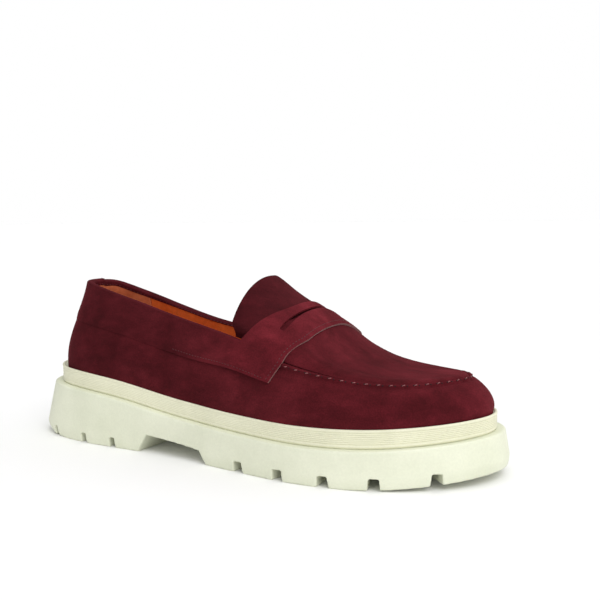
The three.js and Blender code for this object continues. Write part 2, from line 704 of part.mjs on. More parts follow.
add("quarter_lining_lateral", quarterLining("lateral"), COLOURS.lining, 0.5);
add("quarter_lining_medial", quarterLining("medial"), COLOURS.lining, 0.5);
add("heel_grip", heelWrap(HEEL_GRIP_END, WALL_ROWS, LINING), COLOURS.lining, 0.8);
const vampLiningRows = [...WALL_ROWS, ...ROOF_ROWS];
add("vamp_lining", forefootDome(vampLiningRows, VAMP_LINING_BEHIND, LINING), COLOURS.foam);
add("heel_counter", heelWrap(COUNTER_END, COUNTER_ROWS, STIFFENER), COLOURS.stiffener);
add("collar_foam", heelWrap(QUARTER_END, COLLAR_FOAM_ROWS, STIFFENER), COLOURS.foam);
add("toe_puff", toePuff(), COLOURS.stiffener);

add("moc_seam_thread", mocSeamThread(), COLOURS.thread, 0.7);
add("saddle_thread", saddleThread(), COLOURS.thread, 0.7);

const bounds = new THREE.Box3().setFromObject(loafer);
const centre = bounds.getCenter(new THREE.Vector3());
loafer.position.set(-centre.x, -centre.y, -bounds.min.z);

export default loafer;
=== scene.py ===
# The penny loafer's looks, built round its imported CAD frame.
# Shapes are worked out in millimetres from the shoe's design origin at the heel, as the CAD source does,
# and every piece is moved into the frame, in metres, when its mesh is made.

import math

import bmesh
import bpy
import numpy as np
from mathutils import Matrix, Vector


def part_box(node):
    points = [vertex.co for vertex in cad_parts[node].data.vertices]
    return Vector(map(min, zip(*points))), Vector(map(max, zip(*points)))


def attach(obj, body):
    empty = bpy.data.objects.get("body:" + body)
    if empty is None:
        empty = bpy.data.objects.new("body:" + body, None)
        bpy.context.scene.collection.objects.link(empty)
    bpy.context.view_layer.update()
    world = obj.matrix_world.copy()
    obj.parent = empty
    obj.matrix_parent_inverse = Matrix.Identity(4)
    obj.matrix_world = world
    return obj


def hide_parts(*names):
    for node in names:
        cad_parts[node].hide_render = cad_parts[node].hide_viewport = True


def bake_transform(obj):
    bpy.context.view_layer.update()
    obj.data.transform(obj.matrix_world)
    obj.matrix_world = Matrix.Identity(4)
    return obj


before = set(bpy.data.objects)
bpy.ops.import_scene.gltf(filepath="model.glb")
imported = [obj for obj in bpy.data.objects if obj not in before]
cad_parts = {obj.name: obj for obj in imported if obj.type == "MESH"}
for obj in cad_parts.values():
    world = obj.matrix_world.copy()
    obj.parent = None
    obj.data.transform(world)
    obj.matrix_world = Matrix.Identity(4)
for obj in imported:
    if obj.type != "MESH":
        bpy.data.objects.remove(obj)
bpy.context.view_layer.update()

MM = 0.001
SHOE = "shoe"

# ---- driving dimensions

# Plan of the sole's ledge, anticlockwise from the heel along the lateral side.
LEDGE_PLAN = [
    (0, 0), (4.5, -20), (17.5, -33), (45, -40), (85, -41.5), (125, -44.5), (165, -51), (205, -56),
    (240, -52), (268, -40.5), (289, -22), (299.5, 2), (295, 22.5), (280, 39), (254.5, 48.5), (220, 53),
    (185, 50.5), (150, 45), (115, 40), (80, 38), (45, 37.5), (17.5, 31.5), (4.5, 19),
]

# Heights along the shoe, as (x, z).
LEDGE_HEIGHT = [(0, 35.2), (60, 31.3), (120, 23.4), (180, 20.2), (240, 20.3), (300, 25.4)]
FEATHER_HEIGHT = [(0, 45.8), (60, 41.6), (120, 33.3), (180, 29.8), (240, 30.2), (300, 34.6)]
GROUND_HEIGHT = [(-10, 3), (14, 0.3), (34, 0), (236, 0), (264, 1.7), (301, 6)]

# How far the welt stands inside the ledge, the upper inside the welt, and the upper above its feather.
WELT_INSET = 4.4
UPPER_INSET = [(4, 6), (14, 3.6), (40, 0.9), (240, 0.9), (280, 1.6), (296, 2.2)]
GAP = 0.3

# The moccasin seam in front and the topline behind, on the lateral and the medial side.
SEAM_HEIGHT = (
    [(0, 100.2), (20, 99.6), (45, 96.4), (76, 89.6), (109, 81.4), (132, 76.8), (157, 72.2), (178, 67),
     (200, 61.2), (216, 57.8), (234, 54.4), (255, 52.6), (280, 52.8), (297, 53.5)],
    [(0, 100.2), (20, 98), (45, 91.6), (76, 82.4), (109, 73.6), (132, 69), (157, 66.5), (178, 63.3),
     (200, 58), (216, 55), (234, 53), (255, 52.4), (280, 52.8), (297, 53.5)],
)
SEAM_INSET = (
    [(0, 17.5), (12, 16), (30, 13), (60, 10.2), (110, 9), (157, 6.5), (185, 3), (205, 3.5),
     (230, 7), (255, 10), (280, 12), (297, 13)],
    [(0, 17.5), (12, 16), (30, 12.8), (60, 9.8), (110, 10), (157, 7.5), (185, 4), (205, 4),
     (230, 7), (255, 10), (280, 12), (297, 13)],
)
SEAM_SLOPE = [(0, 78), (150, 78), (180, 88), (205, 80), (230, 50), (255, 36), (280, 28), (297, 26)]
WALL_BELLY = [(0, 0.8), (60, 0.9), (150, 1), (200, 1.6), (250, 1.5), (297, 2)]
# The wall's control handles, as a share of its height, and how far its belly pulls them outwards.
WALL_HANDLE = 0.38
BELLY_PULL = 1.6
ROOF_FULLNESS = (0.55, 0.44)
# The flattest slope that the roof's handles are worked out for.
LEAST_SLOPE_SINE = 0.3

RIDGE_HEIGHT = [
    (0, 112), (60, 112), (140, 111), (150, 108.5), (160, 104.3), (170, 97.2), (180, 90.8), (190, 85.2),
    (203, 77), (211, 70), (222, 62.5), (235, 57.6), (253, 54.8), (265, 54.4),
]
RIDGE_OFFSET = [(0, 0), (150, 2), (200, 2), (265, 4)]
# Where the sections fan out round the toe and the heel, and how far that draws the ridge's ends in.
TOE_FAN = (222, 34)
HEEL_FAN = (62, 30)

# Saddle strap and tongue: x of each edge against rise (0 foot, 1 seam, 2 ridge).
STRAP_BACK = [(1, 164), (1.16, 171), (1.36, 177), (1.6, 181.5), (2, 183)]
STRAP_SLOT = [(0.6, 176), (1, 183), (1.29, 188.5), (2, 188.5)]
STRAP_FRONT = [(0.6, 187), (1, 195.5), (1.2, 200), (1.4, 202.5), (2, 202.5)]
TONGUE_REAR = [(1, 153.5), (1.1, 154.5), (1.4, 157), (2, 159.5)]
SADDLE_FOOT = 0.6
SADDLE_FOOT_DROP = 0.05
SLOT_END = 1.29
SLOT_WIDTH = 2.2
SLOT_ROUND = 0.03
LEAST_SLOT_HALF = 0.3
# The strap's cut edge is pale in front of these two, on its sides and on its top, above a height.
PALE_EDGE_START = 178
PALE_TOP_START = 193
PALE_TOP_HEIGHT = 70
# How far the tongue runs in under the strap, and how much it sinks there.
TONGUE_TUCK = 8.5
TONGUE_DIP = 1.75
# How far the tongue's wings sink beside the topline, and how deep its lining lies.
WING_TUCK = 5.6
TONGUE_LINING_DEPTH = 1.75

# The moccasin seam fades in between these, where the vamp's top goes up to meet it.
MOC_SEAM_FADE = (176, 189)
VAMP_TOP = 0.94
VAMP_TOP_RISE = 0.058
VAMP_HEM = 1.0
APRON_BEHIND = 7.2
# Swells and hollows of the skin, each as its height, its centre and its width, on the rise or in x.
SEAM_ROLL = (0.75, 0.968, 0.03)
SEAM_HOLLOW = (-0.5, 0.9, 0.035)
VAMP_PUCKER = (-0.45, 0.93, 0.05)
APRON_PUCKER = (-0.3, 1.03, 0.05)
APRON_SWELL = (0.5, 1.16, 0.09)
BACK_SEAM = (-0.35, 0, 0.006)
SADDLE_PUFF_ALONG = (1.3, 156, 13)
SADDLE_PUFF_UP = (1, 0.71, 0.07)
MEDIAL_PUFF = 0.7
SLOT_SPREAD = (0.55, SLOT_END + 0.12, 0.16)
TONGUE_CROWN = (0.5, 2, 0.5)

# The collar: the suede rolls over the saddle's top and is folded in, to a depth that varies along the shoe.
SADDLE_TOP = 0.982
SADDLE_ROWS = ((0.66, 4), (SADDLE_TOP, 21))
COLLAR_RISE = 1.35
FOLD_HEIGHT = -4.5
FOLD_DEPTH = [(0, 0.045), (45, 0.034), (90, 0.004), (132, 0.004), (150, 0.03), (166, 0.11)]
LINING_HEIGHT = -3.2
LINING_OVERLAP = 0.012
BUTT_GAP = 0.0015

# Each sheet's thickness and the rounding of its cut edges.
VAMP_SHEET = (1.3, 0.3)
APRON_SHEET = (1.3, 0.25)
STRAP_SHEET = (1.25, 0.3)
TONGUE_SHEET = (1.6, 0.45)
TONGUE_LINING_SHEET = (0.9, 0.25)
LINING_SHEET = (0.95, 0.2)
GRIP_SHEET = (1.15, 0.3)
# Where the heel grip and the quarter linings end.
HEEL_GRIP_END = 52
LINING_END = 163

# The outsole's flare past its ledge: where it ends or starts, and its size.
HEEL_FLARE = (30, 9)
TOE_FLARE = (270, 1.5)
TOE_FLARE_LENGTH = 30
SIDE_FLARE = 1
# The tread's bevel at the sides and at the heel.
TREAD_BEVEL = (0.9, 4.5)
TREAD_BEVEL_HEIGHT = 5.5
ARCH = [(145, -2), (139, 7.6), (122, 9.2), (97, 11), (88.5, -2)]
ARCH_REACH = 80
NOTCH_HEIGHT = 6.2
NOTCH_LENGTH = 20
NOTCH_DRAFT = 0.7
NOTCH_OVERHANG = 14
NOTCHES = [(x, 5.6) for x in (168.5, 196, 223, 249.5, 277.5)] + [(x, 3.8) for x in (17, 45.3, 69.3)]
TREAD_DEPTH = 4.5
TREAD_GROOVE = 5
CUT_PAST = 3
# Grooves of the tread: along as (x, x, y) and across as (x, y, y).
GROOVES_ALONG = [(154, 262, -26), (154, 262, 25), (24, 80, -18), (24, 80, 17)]
GROOVES_ACROSS = [
    (264.5, -28.5, 27.5), (154, -28.5, 27.5), (182, -27, 26), (209.5, -27, 26), (236, -27, 26),
    (24, -20.5, 19.5), (57, -19, 18), (80, -20.5, 19.5),
]
RIBS = 7
RIB_STEPS = 6
# The band's groove at its foot and the lip at its top, as (height, how far out), and the ribs between them.
BAND_FOOT = [(0.1, -0.5), (0.35, -0.35), (0.6, -0.18), (1.0, -0.04), (1.9, 0.0)]
BAND_LIP = [
    (-1.45, 0.0), (-1.2, 0.12), (-0.5, 0.16), (-0.15, -0.05),
    (0.0, -0.45), (-0.02, -0.9), (-0.25, -1.3), (-0.9, -1.7),
]
BAND_BACK = -9.0
# The footbed cover, inside the feather: its levels as (share of its size, height).
SOCK_WITHIN = 5.2
SOCK_MIDDLE = (150, 1)
SOCK_LEVELS = [(1.0, 5.8), (1.0, 6.6), (0.985, 7.0), (0.96, 7.05), (0.9, 6.9)]
SOCK_LEVELS += [(share, 6.8) for share in (0.75, 0.5, 0.25, 0.02)]
PLATE_DRAW_IN = [(0, 1.2), (30, 0), (225, 0), (262, 2), (296, 4)]
SOLE_VOXEL = 0.62

# Stitches: their pitches, the phase of the puckers, and the moccasin seam's place on the rise.
MOC_PITCH = 6.5
FINE_PITCH = 2.3
LINING_PITCH = 2.6
PUCKER_PHASE = 0.23
MOC_SEAM_RISE = 0.955

# Steps of the meshes round the upper, where 1 is from heel to toe.
PATH_STEP = 0.001
VAMP_STEP = 0.0032
SADDLE_STEP = 0.0035
LINING_STEP = 0.004
# Points of the plan's curve and of the ledge, and passes that ease it; then points on each side of a piece.
PLAN_POINTS = 2880
LEDGE_POINTS = 1440
LEDGE_EASING = 240
BAND_POINTS = 260
OUTSOLE_POINTS = 180
SOCK_POINTS = 140


# ---- curve tools

def through(pairs):
    """A smooth function through (x, value) pairs. Equal neighbours stay level."""
    xs, ys = np.array(pairs, float).T
    step = np.diff(xs)
    slope = np.diff(ys) / step
    inner = (step[:-1] * slope[1:] + step[1:] * slope[:-1]) / (step[:-1] + step[1:])
    inner[(slope[:-1] == 0) | (slope[1:] == 0)] = 0
    tangent = np.r_[slope[0], inner, slope[-1]]

    def value(x):
        x = np.clip(x, xs[0], xs[-1])
        i = np.clip(np.searchsorted(xs, x, side="right") - 1, 0, len(xs) - 2)
        h = step[i]
        t = (x - xs[i]) / h
        near = (2 * t**3 - 3 * t**2 + 1) * ys[i] + (t**3 - 2 * t**2 + t) * h * tangent[i]
        far = (3 * t**2 - 2 * t**3) * ys[i + 1] + (t**3 - t**2) * h * tangent[i + 1]
        return near + far

    return value


def smoothstep(low, high, x):
    t = np.clip((np.asarray(x, float) - low) / (high - low), 0, 1)
    return t * t * (3 - 2 * t)


def swell(x, height, centre, width):
    return height * np.exp(-(((x - centre) / width) ** 2))


def pairs(first, second):
    """Every pairing of two rows of values, as two grids."""
    return np.meshgrid(first, second, indexing="ij")


def runs(start, *stretches):
    """Values from start through even stretches, each given as its end and its count of steps."""
    made = [start]
    for end, steps in stretches:
        made.extend(np.linspace(made[-1], end, steps + 1)[1:])
    return np.array(made)


def over_the_top(climb):
    """Rises up one side and down the other, where a negative one is on the medial side."""
    return np.r_[climb, -climb[-2::-1]]


def unit(v):
    return v / np.maximum(np.linalg.norm(v, axis=-1, keepdims=True), 1e-12)


def closed_curve(plan, count):
    """A closed centripetal Catmull-Rom curve through the plan's points."""
    p = np.array(plan, float)
    size = len(p)
    made = []
    for k in range(count):
        place = size * k / count
        i = int(place)
        w = place - i
        p0, p1, p2, p3 = p[(i - 1) % size], p[i % size], p[(i + 1) % size], p[(i + 2) % size]
        t0, t1, t2 = (np.linalg.norm(b - a) ** 0.5 for a, b in ((p0, p1), (p1, p2), (p2, p3)))
        a = ((p1 - p0) / t0 - (p2 - p0) / (t0 + t1) + (p2 - p1) / t1) * t1
        b = ((p2 - p1) / t1 - (p3 - p1) / (t1 + t2) + (p3 - p2) / t2) * t1
        made.append(p1 + a * w + (-3 * p1 + 3 * p2 - 2 * a - b) * w**2 + (2 * p1 - 2 * p2 + a + b) * w**3)
    return np.array(made)


def lengths_along(line):
    """The length along a line of points, at each of them."""
    return np.r_[0, np.cumsum(np.linalg.norm(np.diff(line, axis=0), axis=1))]


def at_lengths(lengths, along, values):
    return np.stack([np.interp(lengths, along, column) for column in values.T], 1)


def spaced(points, count):
    """A closed outline resampled to evenly spaced points."""
    ring = np.vstack([points, points[:1]])
    along = lengths_along(ring)
    return at_lengths(np.linspace(0, along[-1], count, endpoint=False), along, ring)


def eased(points, passes):
    for _ in range(passes):
        points = points * 0.5 + (np.roll(points, 1, 0) + np.roll(points, -1, 0)) * 0.25
    return points


def offset_outline(points, distance):
    """An anticlockwise outline moved outwards; the distance may vary from point to point."""
    along = unit(np.roll(points, -1, 0) - np.roll(points, 1, 0))
    outward = np.c_[along[:, 1], -along[:, 0]]
    return points + outward * np.asarray(distance).reshape(-1, 1)


class Outline:
    """An outline split at heel and toe, each side a function of w: 0 at the heel, 1 at the toe."""

    def __init__(self, points):
        points = np.roll(points, -int(np.argmin(points[:, 0])), 0)
        toe = int(np.argmax(points[:, 0]))
        self.start, self.end = points[0, 0], points[toe, 0]
        medial = np.vstack([points[toe:], points[:1]])[::-1]
        self.sides = [(self.w_of(side[:, 0]), side) for side in (points[: toe + 1], medial)]

    def w_of(self, x):
        share = (np.asarray(x, float) - self.start) / (self.end - self.start)
        return np.arccos(np.clip(1 - 2 * share, -1, 1)) / np.pi

    def at(self, medial, w):
        """(x, y) at w, where medial is an array of booleans of w's shape."""
        made = []
        for axis in (0, 1):
            values = [np.interp(w, key, side[:, axis]) for key, side in self.sides]
            made.append(np.where(medial, values[1], values[0]))
        return np.stack(made, -1)

    def ring(self, per_side):
        """Points once round, lateral side first, without repeating the ends."""
        w = np.arange(per_side + 1) / per_side
        lateral = self.at(np.zeros(len(w), bool), w)
        medial = self.at(np.ones(len(w), bool), w)
        return np.vstack([lateral, medial[-2:0:-1]])


ledge_height = through(LEDGE_HEIGHT)
feather_height = through(FEATHER_HEIGHT)
ground_height = through(GROUND_HEIGHT)

ledge_points = eased(spaced(closed_curve(LEDGE_PLAN, PLAN_POINTS), LEDGE_POINTS), LEDGE_EASING)
welt_points = offset_outline(ledge_points, -WELT_INSET)
feather_points = offset_outline(welt_points, -through(UPPER_INSET)(welt_points[:, 0]))
ledge = Outline(ledge_points)
feather = Outline(feather_points)


def heel_share(x):
    """1 at the back of the heel, fading to 0 where the heel's flare ends."""
    return np.clip(1 - x / HEEL_FLARE[0], 0, 1) ** 2


def flare(x):
    """How far the outsole stands out past its ledge."""
    toe = np.clip((x - TOE_FLARE[0]) / TOE_FLARE_LENGTH, 0, 1)
    return SIDE_FLARE + HEEL_FLARE[1] * heel_share(x) + TOE_FLARE[1] * toe


lug_points = offset_outline(ledge_points, flare(ledge_points[:, 0]))

# The CAD's origin, in design millimetres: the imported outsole's heel and lateral faces say where it is.
cad_sole_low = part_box("outsole")[0]
ORIGIN = np.array([
    lug_points[:, 0].min() - cad_sole_low.x / MM,
    lug_points[:, 1].min() - cad_sole_low.y / MM,
    0.0,
])


def to_frame(points):
    return (np.asarray(points, float) - ORIGIN) * MM


# ---- outer surface of the upper

seam_height = [through(side) for side in SEAM_HEIGHT]
seam_inset = [through(side) for side in SEAM_INSET]
seam_slope = through(SEAM_SLOPE)
wall_belly = through(WALL_BELLY)
ridge_height = through(RIDGE_HEIGHT)
ridge_offset = through(RIDGE_OFFSET)

CURVE_SAMPLES = np.linspace(0, 1, 33)


def bezier_weights(t):
    return np.stack([(1 - t) ** 3, 3 * t * (1 - t) ** 2, 3 * t**2 * (1 - t), t**3], -1)


def section_controls(ring):
    """Control points of the wall and of the roof, for each ring value."""
    turn = np.mod(ring, 2)
    medial = turn > 1
    w = np.where(medial, 2 - turn, turn)

    def for_side(pair):
        return np.where(medial, pair[1], pair[0])

    plan = feather.at(medial, w)
    x = plan[:, 0]
    foot = np.c_[plan, feather_height(x) + GAP]
    ridge_x = feather.start + (feather.end - feather.start) * (1 - np.cos(np.pi * w)) / 2
    toward = np.clip((ridge_x - TOE_FAN[0]) / (feather.end - TOE_FAN[0]), 0, 1) ** 2 * TOE_FAN[1]
    away = np.clip((HEEL_FAN[0] - ridge_x) / (HEEL_FAN[0] - feather.start), 0, 1) ** 2 * HEEL_FAN[1]
    ridge_x = ridge_x - toward + away
    ridge = np.c_[ridge_x, ridge_offset(ridge_x), ridge_height(ridge_x)]
    inward = (ridge - foot) * (1, 1, 0)
    reach = np.linalg.norm(inward, axis=1)
    inward = unit(inward)
    inset = for_side([f(x) for f in seam_inset])
    seam = foot + inward * inset[:, None]
    seam[:, 2] = for_side([f(x) for f in seam_height])
    slope = np.radians(seam_slope(x))
    tangent = inward * np.cos(slope)[:, None] + np.array([0, 0, 1]) * np.sin(slope)[:, None]
    wall_height = (seam[:, 2] - foot[:, 2])[:, None]
    roof_height = ridge[:, 2] - seam[:, 2]
    full = for_side(ROOF_FULLNESS)
    low = foot - inward * BELLY_PULL * wall_belly(x)[:, None] + np.array([0, 0, WALL_HANDLE]) * wall_height
    wall = np.stack([foot, low, seam - tangent * WALL_HANDLE * wall_height, seam], 1)
    rise = (full * roof_height / np.maximum(np.sin(slope), LEAST_SLOPE_SINE))[:, None]
    high = ridge - inward * (full * (reach - inset))[:, None]
    return wall, np.stack([seam, seam + tangent * rise, high, ridge], 1)


def on_curve(controls, share):
    """The point at a share of each curve's length."""
    line = np.einsum("tk,nkd->ntd", bezier_weights(CURVE_SAMPLES), controls)
    along = np.cumsum(np.linalg.norm(np.diff(line, axis=1), axis=2), axis=1)
    along = np.c_[np.zeros(len(along)), along]
    goal = share * along[:, -1]
    i = np.clip((along < goal[:, None]).sum(1) - 1, 0, len(CURVE_SAMPLES) - 2)
    row = np.arange(len(i))
    local = (goal - along[row, i]) / np.maximum(along[row, i + 1] - along[row, i], 1e-9)
    t = CURVE_SAMPLES[i] + local * (CURVE_SAMPLES[1] - CURVE_SAMPLES[0])
    return np.einsum("nk,nkd->nd", bezier_weights(t), controls)


def upper_points(ring, rise):
    """Points of the upper's outer skin. Ring is 0 heel, 1 toe, 2 heel; rise is 0 foot, 1 seam, 2 ridge."""
    ring, rise = np.broadcast_arrays(np.asarray(ring, float), np.asarray(rise, float))
    shape = ring.shape
    ring, rise = ring.ravel(), rise.ravel()
    over = rise > 2
    ring = np.where(over, 2 - ring, ring)
    rise = np.where(over, 4 - rise, rise)
    wall, roof = section_controls(ring)
    on_wall = rise <= 1
    controls = np.where(on_wall[:, None, None], wall, roof)
    made = on_curve(controls, np.clip(np.where(on_wall, rise, rise - 1), 0, 1))
    return made.reshape(*shape, 3)


NUDGE = 0.002


def upper_frame(ring, rise):
    """Points of the outer skin and the normals out of it."""
    ring, rise = np.broadcast_arrays(np.asarray(ring, float), np.asarray(rise, float))
    along = upper_points(ring + NUDGE, rise) - upper_points(ring - NUDGE, rise)
    up = upper_points(ring, rise + NUDGE) - upper_points(ring, np.maximum(rise - NUDGE, 0))
    return upper_points(ring, rise), unit(np.cross(along, up))


def path_on_upper(ring, rise, height):
    """Points that stand height off the outer skin, and the normals there."""
    point, normal = upper_frame(ring, rise)
    return point + normal * np.asarray(height)[..., None], normal


def upper_at(ring, rise, height):
    return path_on_upper(ring, rise, height)[0]


def ring_of(medial, x):
    w = feather.w_of(x)
    return np.where(medial, 2 - w, w)


strap_back = through(STRAP_BACK)
strap_slot = through(STRAP_SLOT)
strap_front = through(STRAP_FRONT)
tongue_rear = through(TONGUE_REAR)


def rings_between(start, end, spacing):
    return np.linspace(start, end, max(2, int(round((end - start) / spacing))) + 1)


# ---- mesh makers

# How close points are welded and how short an edge may be, in metres, and a sharp edge's degrees.
WELD_DISTANCE = 2e-5
LEAST_EDGE = 1e-7
SHARP_EDGE = 50


def add_object(name, data):
    made = bpy.data.objects.new(name, data)
    bpy.context.scene.collection.objects.link(made)
    return made


def mesh_object(name, points, faces):
    """An object whose points are given in design millimetres."""
    mesh = bpy.data.meshes.new(name)
    mesh.from_pydata(to_frame(points).tolist(), [], [list(map(int, face)) for face in faces])
    mesh.shade_smooth()
    mesh.update()
    return add_object(name, mesh)


def grid_faces(columns, rows, keep=None, close_columns=False):
    """Quads of a grid whose points run row by row within each column."""
    i, j = pairs(np.arange(columns - (not close_columns)), np.arange(rows - 1))
    if keep is not None:
        i, j = i[keep], j[keep]
    i, j = i.ravel(), j.ravel()
    after = (i + 1) % columns
    return np.stack([i * rows + j, after * rows + j, after * rows + j + 1, i * rows + j + 1], 1)


def wall_of(rings):
    """A wall through a stack of closed rings: its points, its faces, and its counts of columns and rows."""
    grid = np.stack(rings, 1)
    columns, rows = grid.shape[:2]
    return grid.reshape(-1, 3), grid_faces(columns, rows, close_columns=True).tolist(), columns, rows


def grids_object(name, *grids, keep=None):
    """One mesh of point grids, welded where they meet. Keep says which quads of the last one are made."""
    points, faces = [], []
    for grid in grids:
        columns, rows = grid.shape[:2]
        chosen = keep if grid is grids[-1] else None
        faces.append(grid_faces(columns, rows, chosen) + sum(map(len, points)))
        points.append(grid.reshape(-1, 3))
    made = mesh_object(name, np.vstack(points), np.vstack(faces))
    weld(made)
    return made


def weld(obj):
    work = bmesh.new()
    work.from_mesh(obj.data)
    bmesh.ops.remove_doubles(work, verts=work.verts, dist=WELD_DISTANCE)
    bmesh.ops.dissolve_degenerate(work, edges=work.edges, dist=LEAST_EDGE)
    work.to_mesh(obj.data)
    work.free()


def modify(obj, kind, **settings):
    """Adds a modifier with its settings, and applies it."""
    modifier = obj.modifiers.new(kind, kind)
    for setting, value in settings.items():
        setattr(modifier, setting, value)
    evaluated = obj.evaluated_get(bpy.context.evaluated_depsgraph_get())
    mesh = bpy.data.meshes.new_from_object(evaluated)
    obj.modifiers.clear()
    obj.data = mesh


def thicken(obj, thickness, rounding, edge_material=0):
    """Gives a sheet its thickness, inwards from its outer skin, and rounds its cut edges."""
    while len(obj.data.materials) <= edge_material:
        obj.data.materials.append(None)
    modify(obj, "SOLIDIFY", thickness=thickness * MM, offset=-1, use_even_offset=False,
           material_offset_rim=edge_material)
    modify(obj, "BEVEL", width=rounding * MM, segments=2, limit_method="ANGLE",
           angle_limit=math.radians(SHARP_EDGE), loop_slide=False, material=edge_material or -1)
    obj.data.shade_smooth()


def finish_piece(obj, materials, slot, *nodes, body=SHOE):
    """Gives a piece its materials, the CAD nodes it stands for, and the body it rides on. The slot is not
    used.
    """
    for index, material in enumerate(materials):
        if index < len(obj.data.materials):
            obj.data.materials[index] = material
        else:
            obj.data.materials.append(material)
    if nodes:
        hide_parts(*nodes)
    if body:
        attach(obj, body)
    return obj


def sheet_piece(node, grid, sheet, materials, slot, body=SHOE):
    """A sheet with its thickness, made from one grid, that stands for a CAD node."""
    made = grids_object(f"{node}_visual", grid)
    thicken(made, *sheet)
    return finish_piece(made, materials, slot, node, body=body)


# ---- materials

SUEDE_SHEEN = (196, 62, 78)
# Where painted light makes the suede lighter, away from the heel: the start and end from the heel, and the
# brightness at each.
PAINTED_LIGHT_BODY = (20, 270, 0.9, 1.4)
PAINTED_LIGHT_STRAP = (118, 166, 0.95, 1.75)
# How dark a thread's painted shade is between its strands, and the wave texture's scale for one band a unit.
THREAD_PAINTED_SHADE = 0.72
WAVE_SCALE = 0.31


def linear(*colours):
    """Linear, opaque colours from (red, green, blue) of 0 to 255."""
    made = []
    for colour in colours:
        values = [c / 255 for c in colour]
        values = [c / 12.92 if c <= 0.04045 else ((c + 0.055) / 1.055) ** 2.4 for c in values]
        made.append((*values, 1.0))
    return made


def set_or_link(tree, socket, value):
    """Gives a socket a number, colour or vector, or links it to another node's output."""
    if isinstance(value, bpy.types.NodeSocket):
        tree.links.new(value, socket)
    else:
        socket.default_value = value


def add_node(tree, kind, output, inputs=(), **settings):
    """One output of a new shader node, whose inputs are given by name or by number."""
    node = tree.nodes.new("ShaderNode" + kind)
    for setting, value in settings.items():
        setattr(node, setting, value)
    for socket, value in dict(inputs).items():
        set_or_link(tree, node.inputs[socket], value)
    return node.outputs[output]


class Surface:
    """A procedural material in object coordinates, which are the frame's metres. Sizes are millimetres."""

    def __init__(self, name, **sockets):
        self.material = bpy.data.materials.new(name)
        self.material.use_nodes = True
        self.tree = self.material.node_tree
        self.shader = self.tree.nodes["Principled BSDF"]
        self.place = self.node("TexCoord", "Object")
        self.normal = None
        self.shade(**sockets)

    def node(self, kind, output, inputs=(), **settings):
        return add_node(self.tree, kind, output, inputs, **settings)

    def shade(self, **sockets):
        """Sets or links the shader's sockets, whose names are written with _ for a space."""
        for socket, value in sockets.items():
            set_or_link(self.tree, self.shader.inputs[socket.replace("_", " ")], value)

    def stretched(self, scale, turn):
        """The place, stretched and turned, for marks that run one way."""
        return self.node("Mapping", "Vector", {"Vector": self.place, "Scale": scale, "Rotation": turn})

    def from_heel(self, start, end, low, high):
        """A value that goes from low to high between two distances from the heel."""
        x = self.node("SeparateXYZ", "X", {"Vector": self.place})
        return self.level(x, (start - ORIGIN[0]) * MM, (end - ORIGIN[0]) * MM, low, high)

    def noise(self, size, detail=3.0, rough=0.55, place=None, distortion=0.0):
        """Noise whose features are about size wide."""
        return self.node("TexNoise", "Fac", {
            "Vector": place or self.place, "Scale": 1 / (size * MM),
            "Detail": detail, "Roughness": rough, "Distortion": distortion,
        })

    def cells(self, size):
        return self.node("TexVoronoi", "Distance", {"Vector": self.place, "Scale": 1 / (size * MM)})

    def waves(self, size, direction):
        """Straight bands, size apart across X or Y."""
        scale = WAVE_SCALE / (size * MM)
        return self.node("TexWave", "Fac", {"Vector": self.place, "Scale": scale}, bands_direction=direction)

    def math(self, operation, *values):
        return self.node("Math", 0, enumerate(values), operation=operation)

    def level(self, value, low, high, to_low, to_high):
        """A value between low and high, moved to lie between to_low and to_high."""
        return self.node("MapRange", 0, enumerate((value, low, high, to_low, to_high)))

    def ramp(self, value, places, colours):
        """A colour for each value, from the colours at some places between 0 and 1."""
        node = self.tree.nodes.new("ShaderNodeValToRGB")
        elements = node.color_ramp.elements
        while len(elements) < len(places):
            elements.new(0.5)
        for element, place, colour in zip(elements, places, colours):
            element.position = place
            element.color = colour
        self.tree.links.new(value, node.inputs[0])
        return node.outputs[0]

    def product(self, first, second):
        """Two colours multiplied. Sockets 6, 7 and the output 2 are the colour ones."""
        return self.node("Mix", 2, {0: 1.0, 6: first, 7: second}, data_type="RGBA", blend_type="MULTIPLY")

    def relief(self, value, depth, strength):
        """Adds a bump layer, which stands depth high from black to white."""
        inputs = {"Height": value, "Distance": depth * MM, "Strength": strength}
        if self.normal is not None:
            inputs["Normal"] = self.normal
        self.normal = self.node("Bump", "Normal", inputs)
        self.shade(Normal=self.normal)


def suede_material(name, shades, painted_light):
    """Suede in a dark, a middle and a light shade, with painted light that makes it lighter from one place to
    another.
    """
    s = Surface(name, Roughness=0.92, Specular_IOR_Level=0.08, Sheen_Weight=0.16, Sheen_Roughness=0.45,
                Sheen_Tint=linear(SUEDE_SHEEN)[0])
    clouds = s.noise(34, rough=0.6, distortion=0.6)
    strokes = s.noise(9, detail=4, rough=0.62, place=s.stretched((0.45, 1, 1.2), (0.2, 0.5, 0.3)))
    nap = s.noise(0.9, rough=0.7)
    fibre = s.noise(0.35, detail=2, rough=0.6)
    blend = s.math("ADD", s.math("MULTIPLY", clouds, 0.55), s.math("MULTIPLY", strokes, 0.45))
    base = s.ramp(blend, (0.34, 0.5, 0.68), linear(*shades))
    speckle = s.level(s.math("ADD", nap, fibre), 0.7, 1.3, 0.72, 1.28)
    # Painted light: the colour is multiplied up away from the heel, lighter towards the toe and the strap.
    base = s.product(base, s.from_heel(*painted_light))
    s.shade(Base_Color=s.product(base, speckle), Roughness=s.level(clouds, 0.3, 0.7, 0.97, 0.86))
    s.relief(strokes, 0.5, 0.35)
    s.relief(nap, 0.22, 0.55)
    s.relief(fibre, 0.1, 0.6)
    return s.material


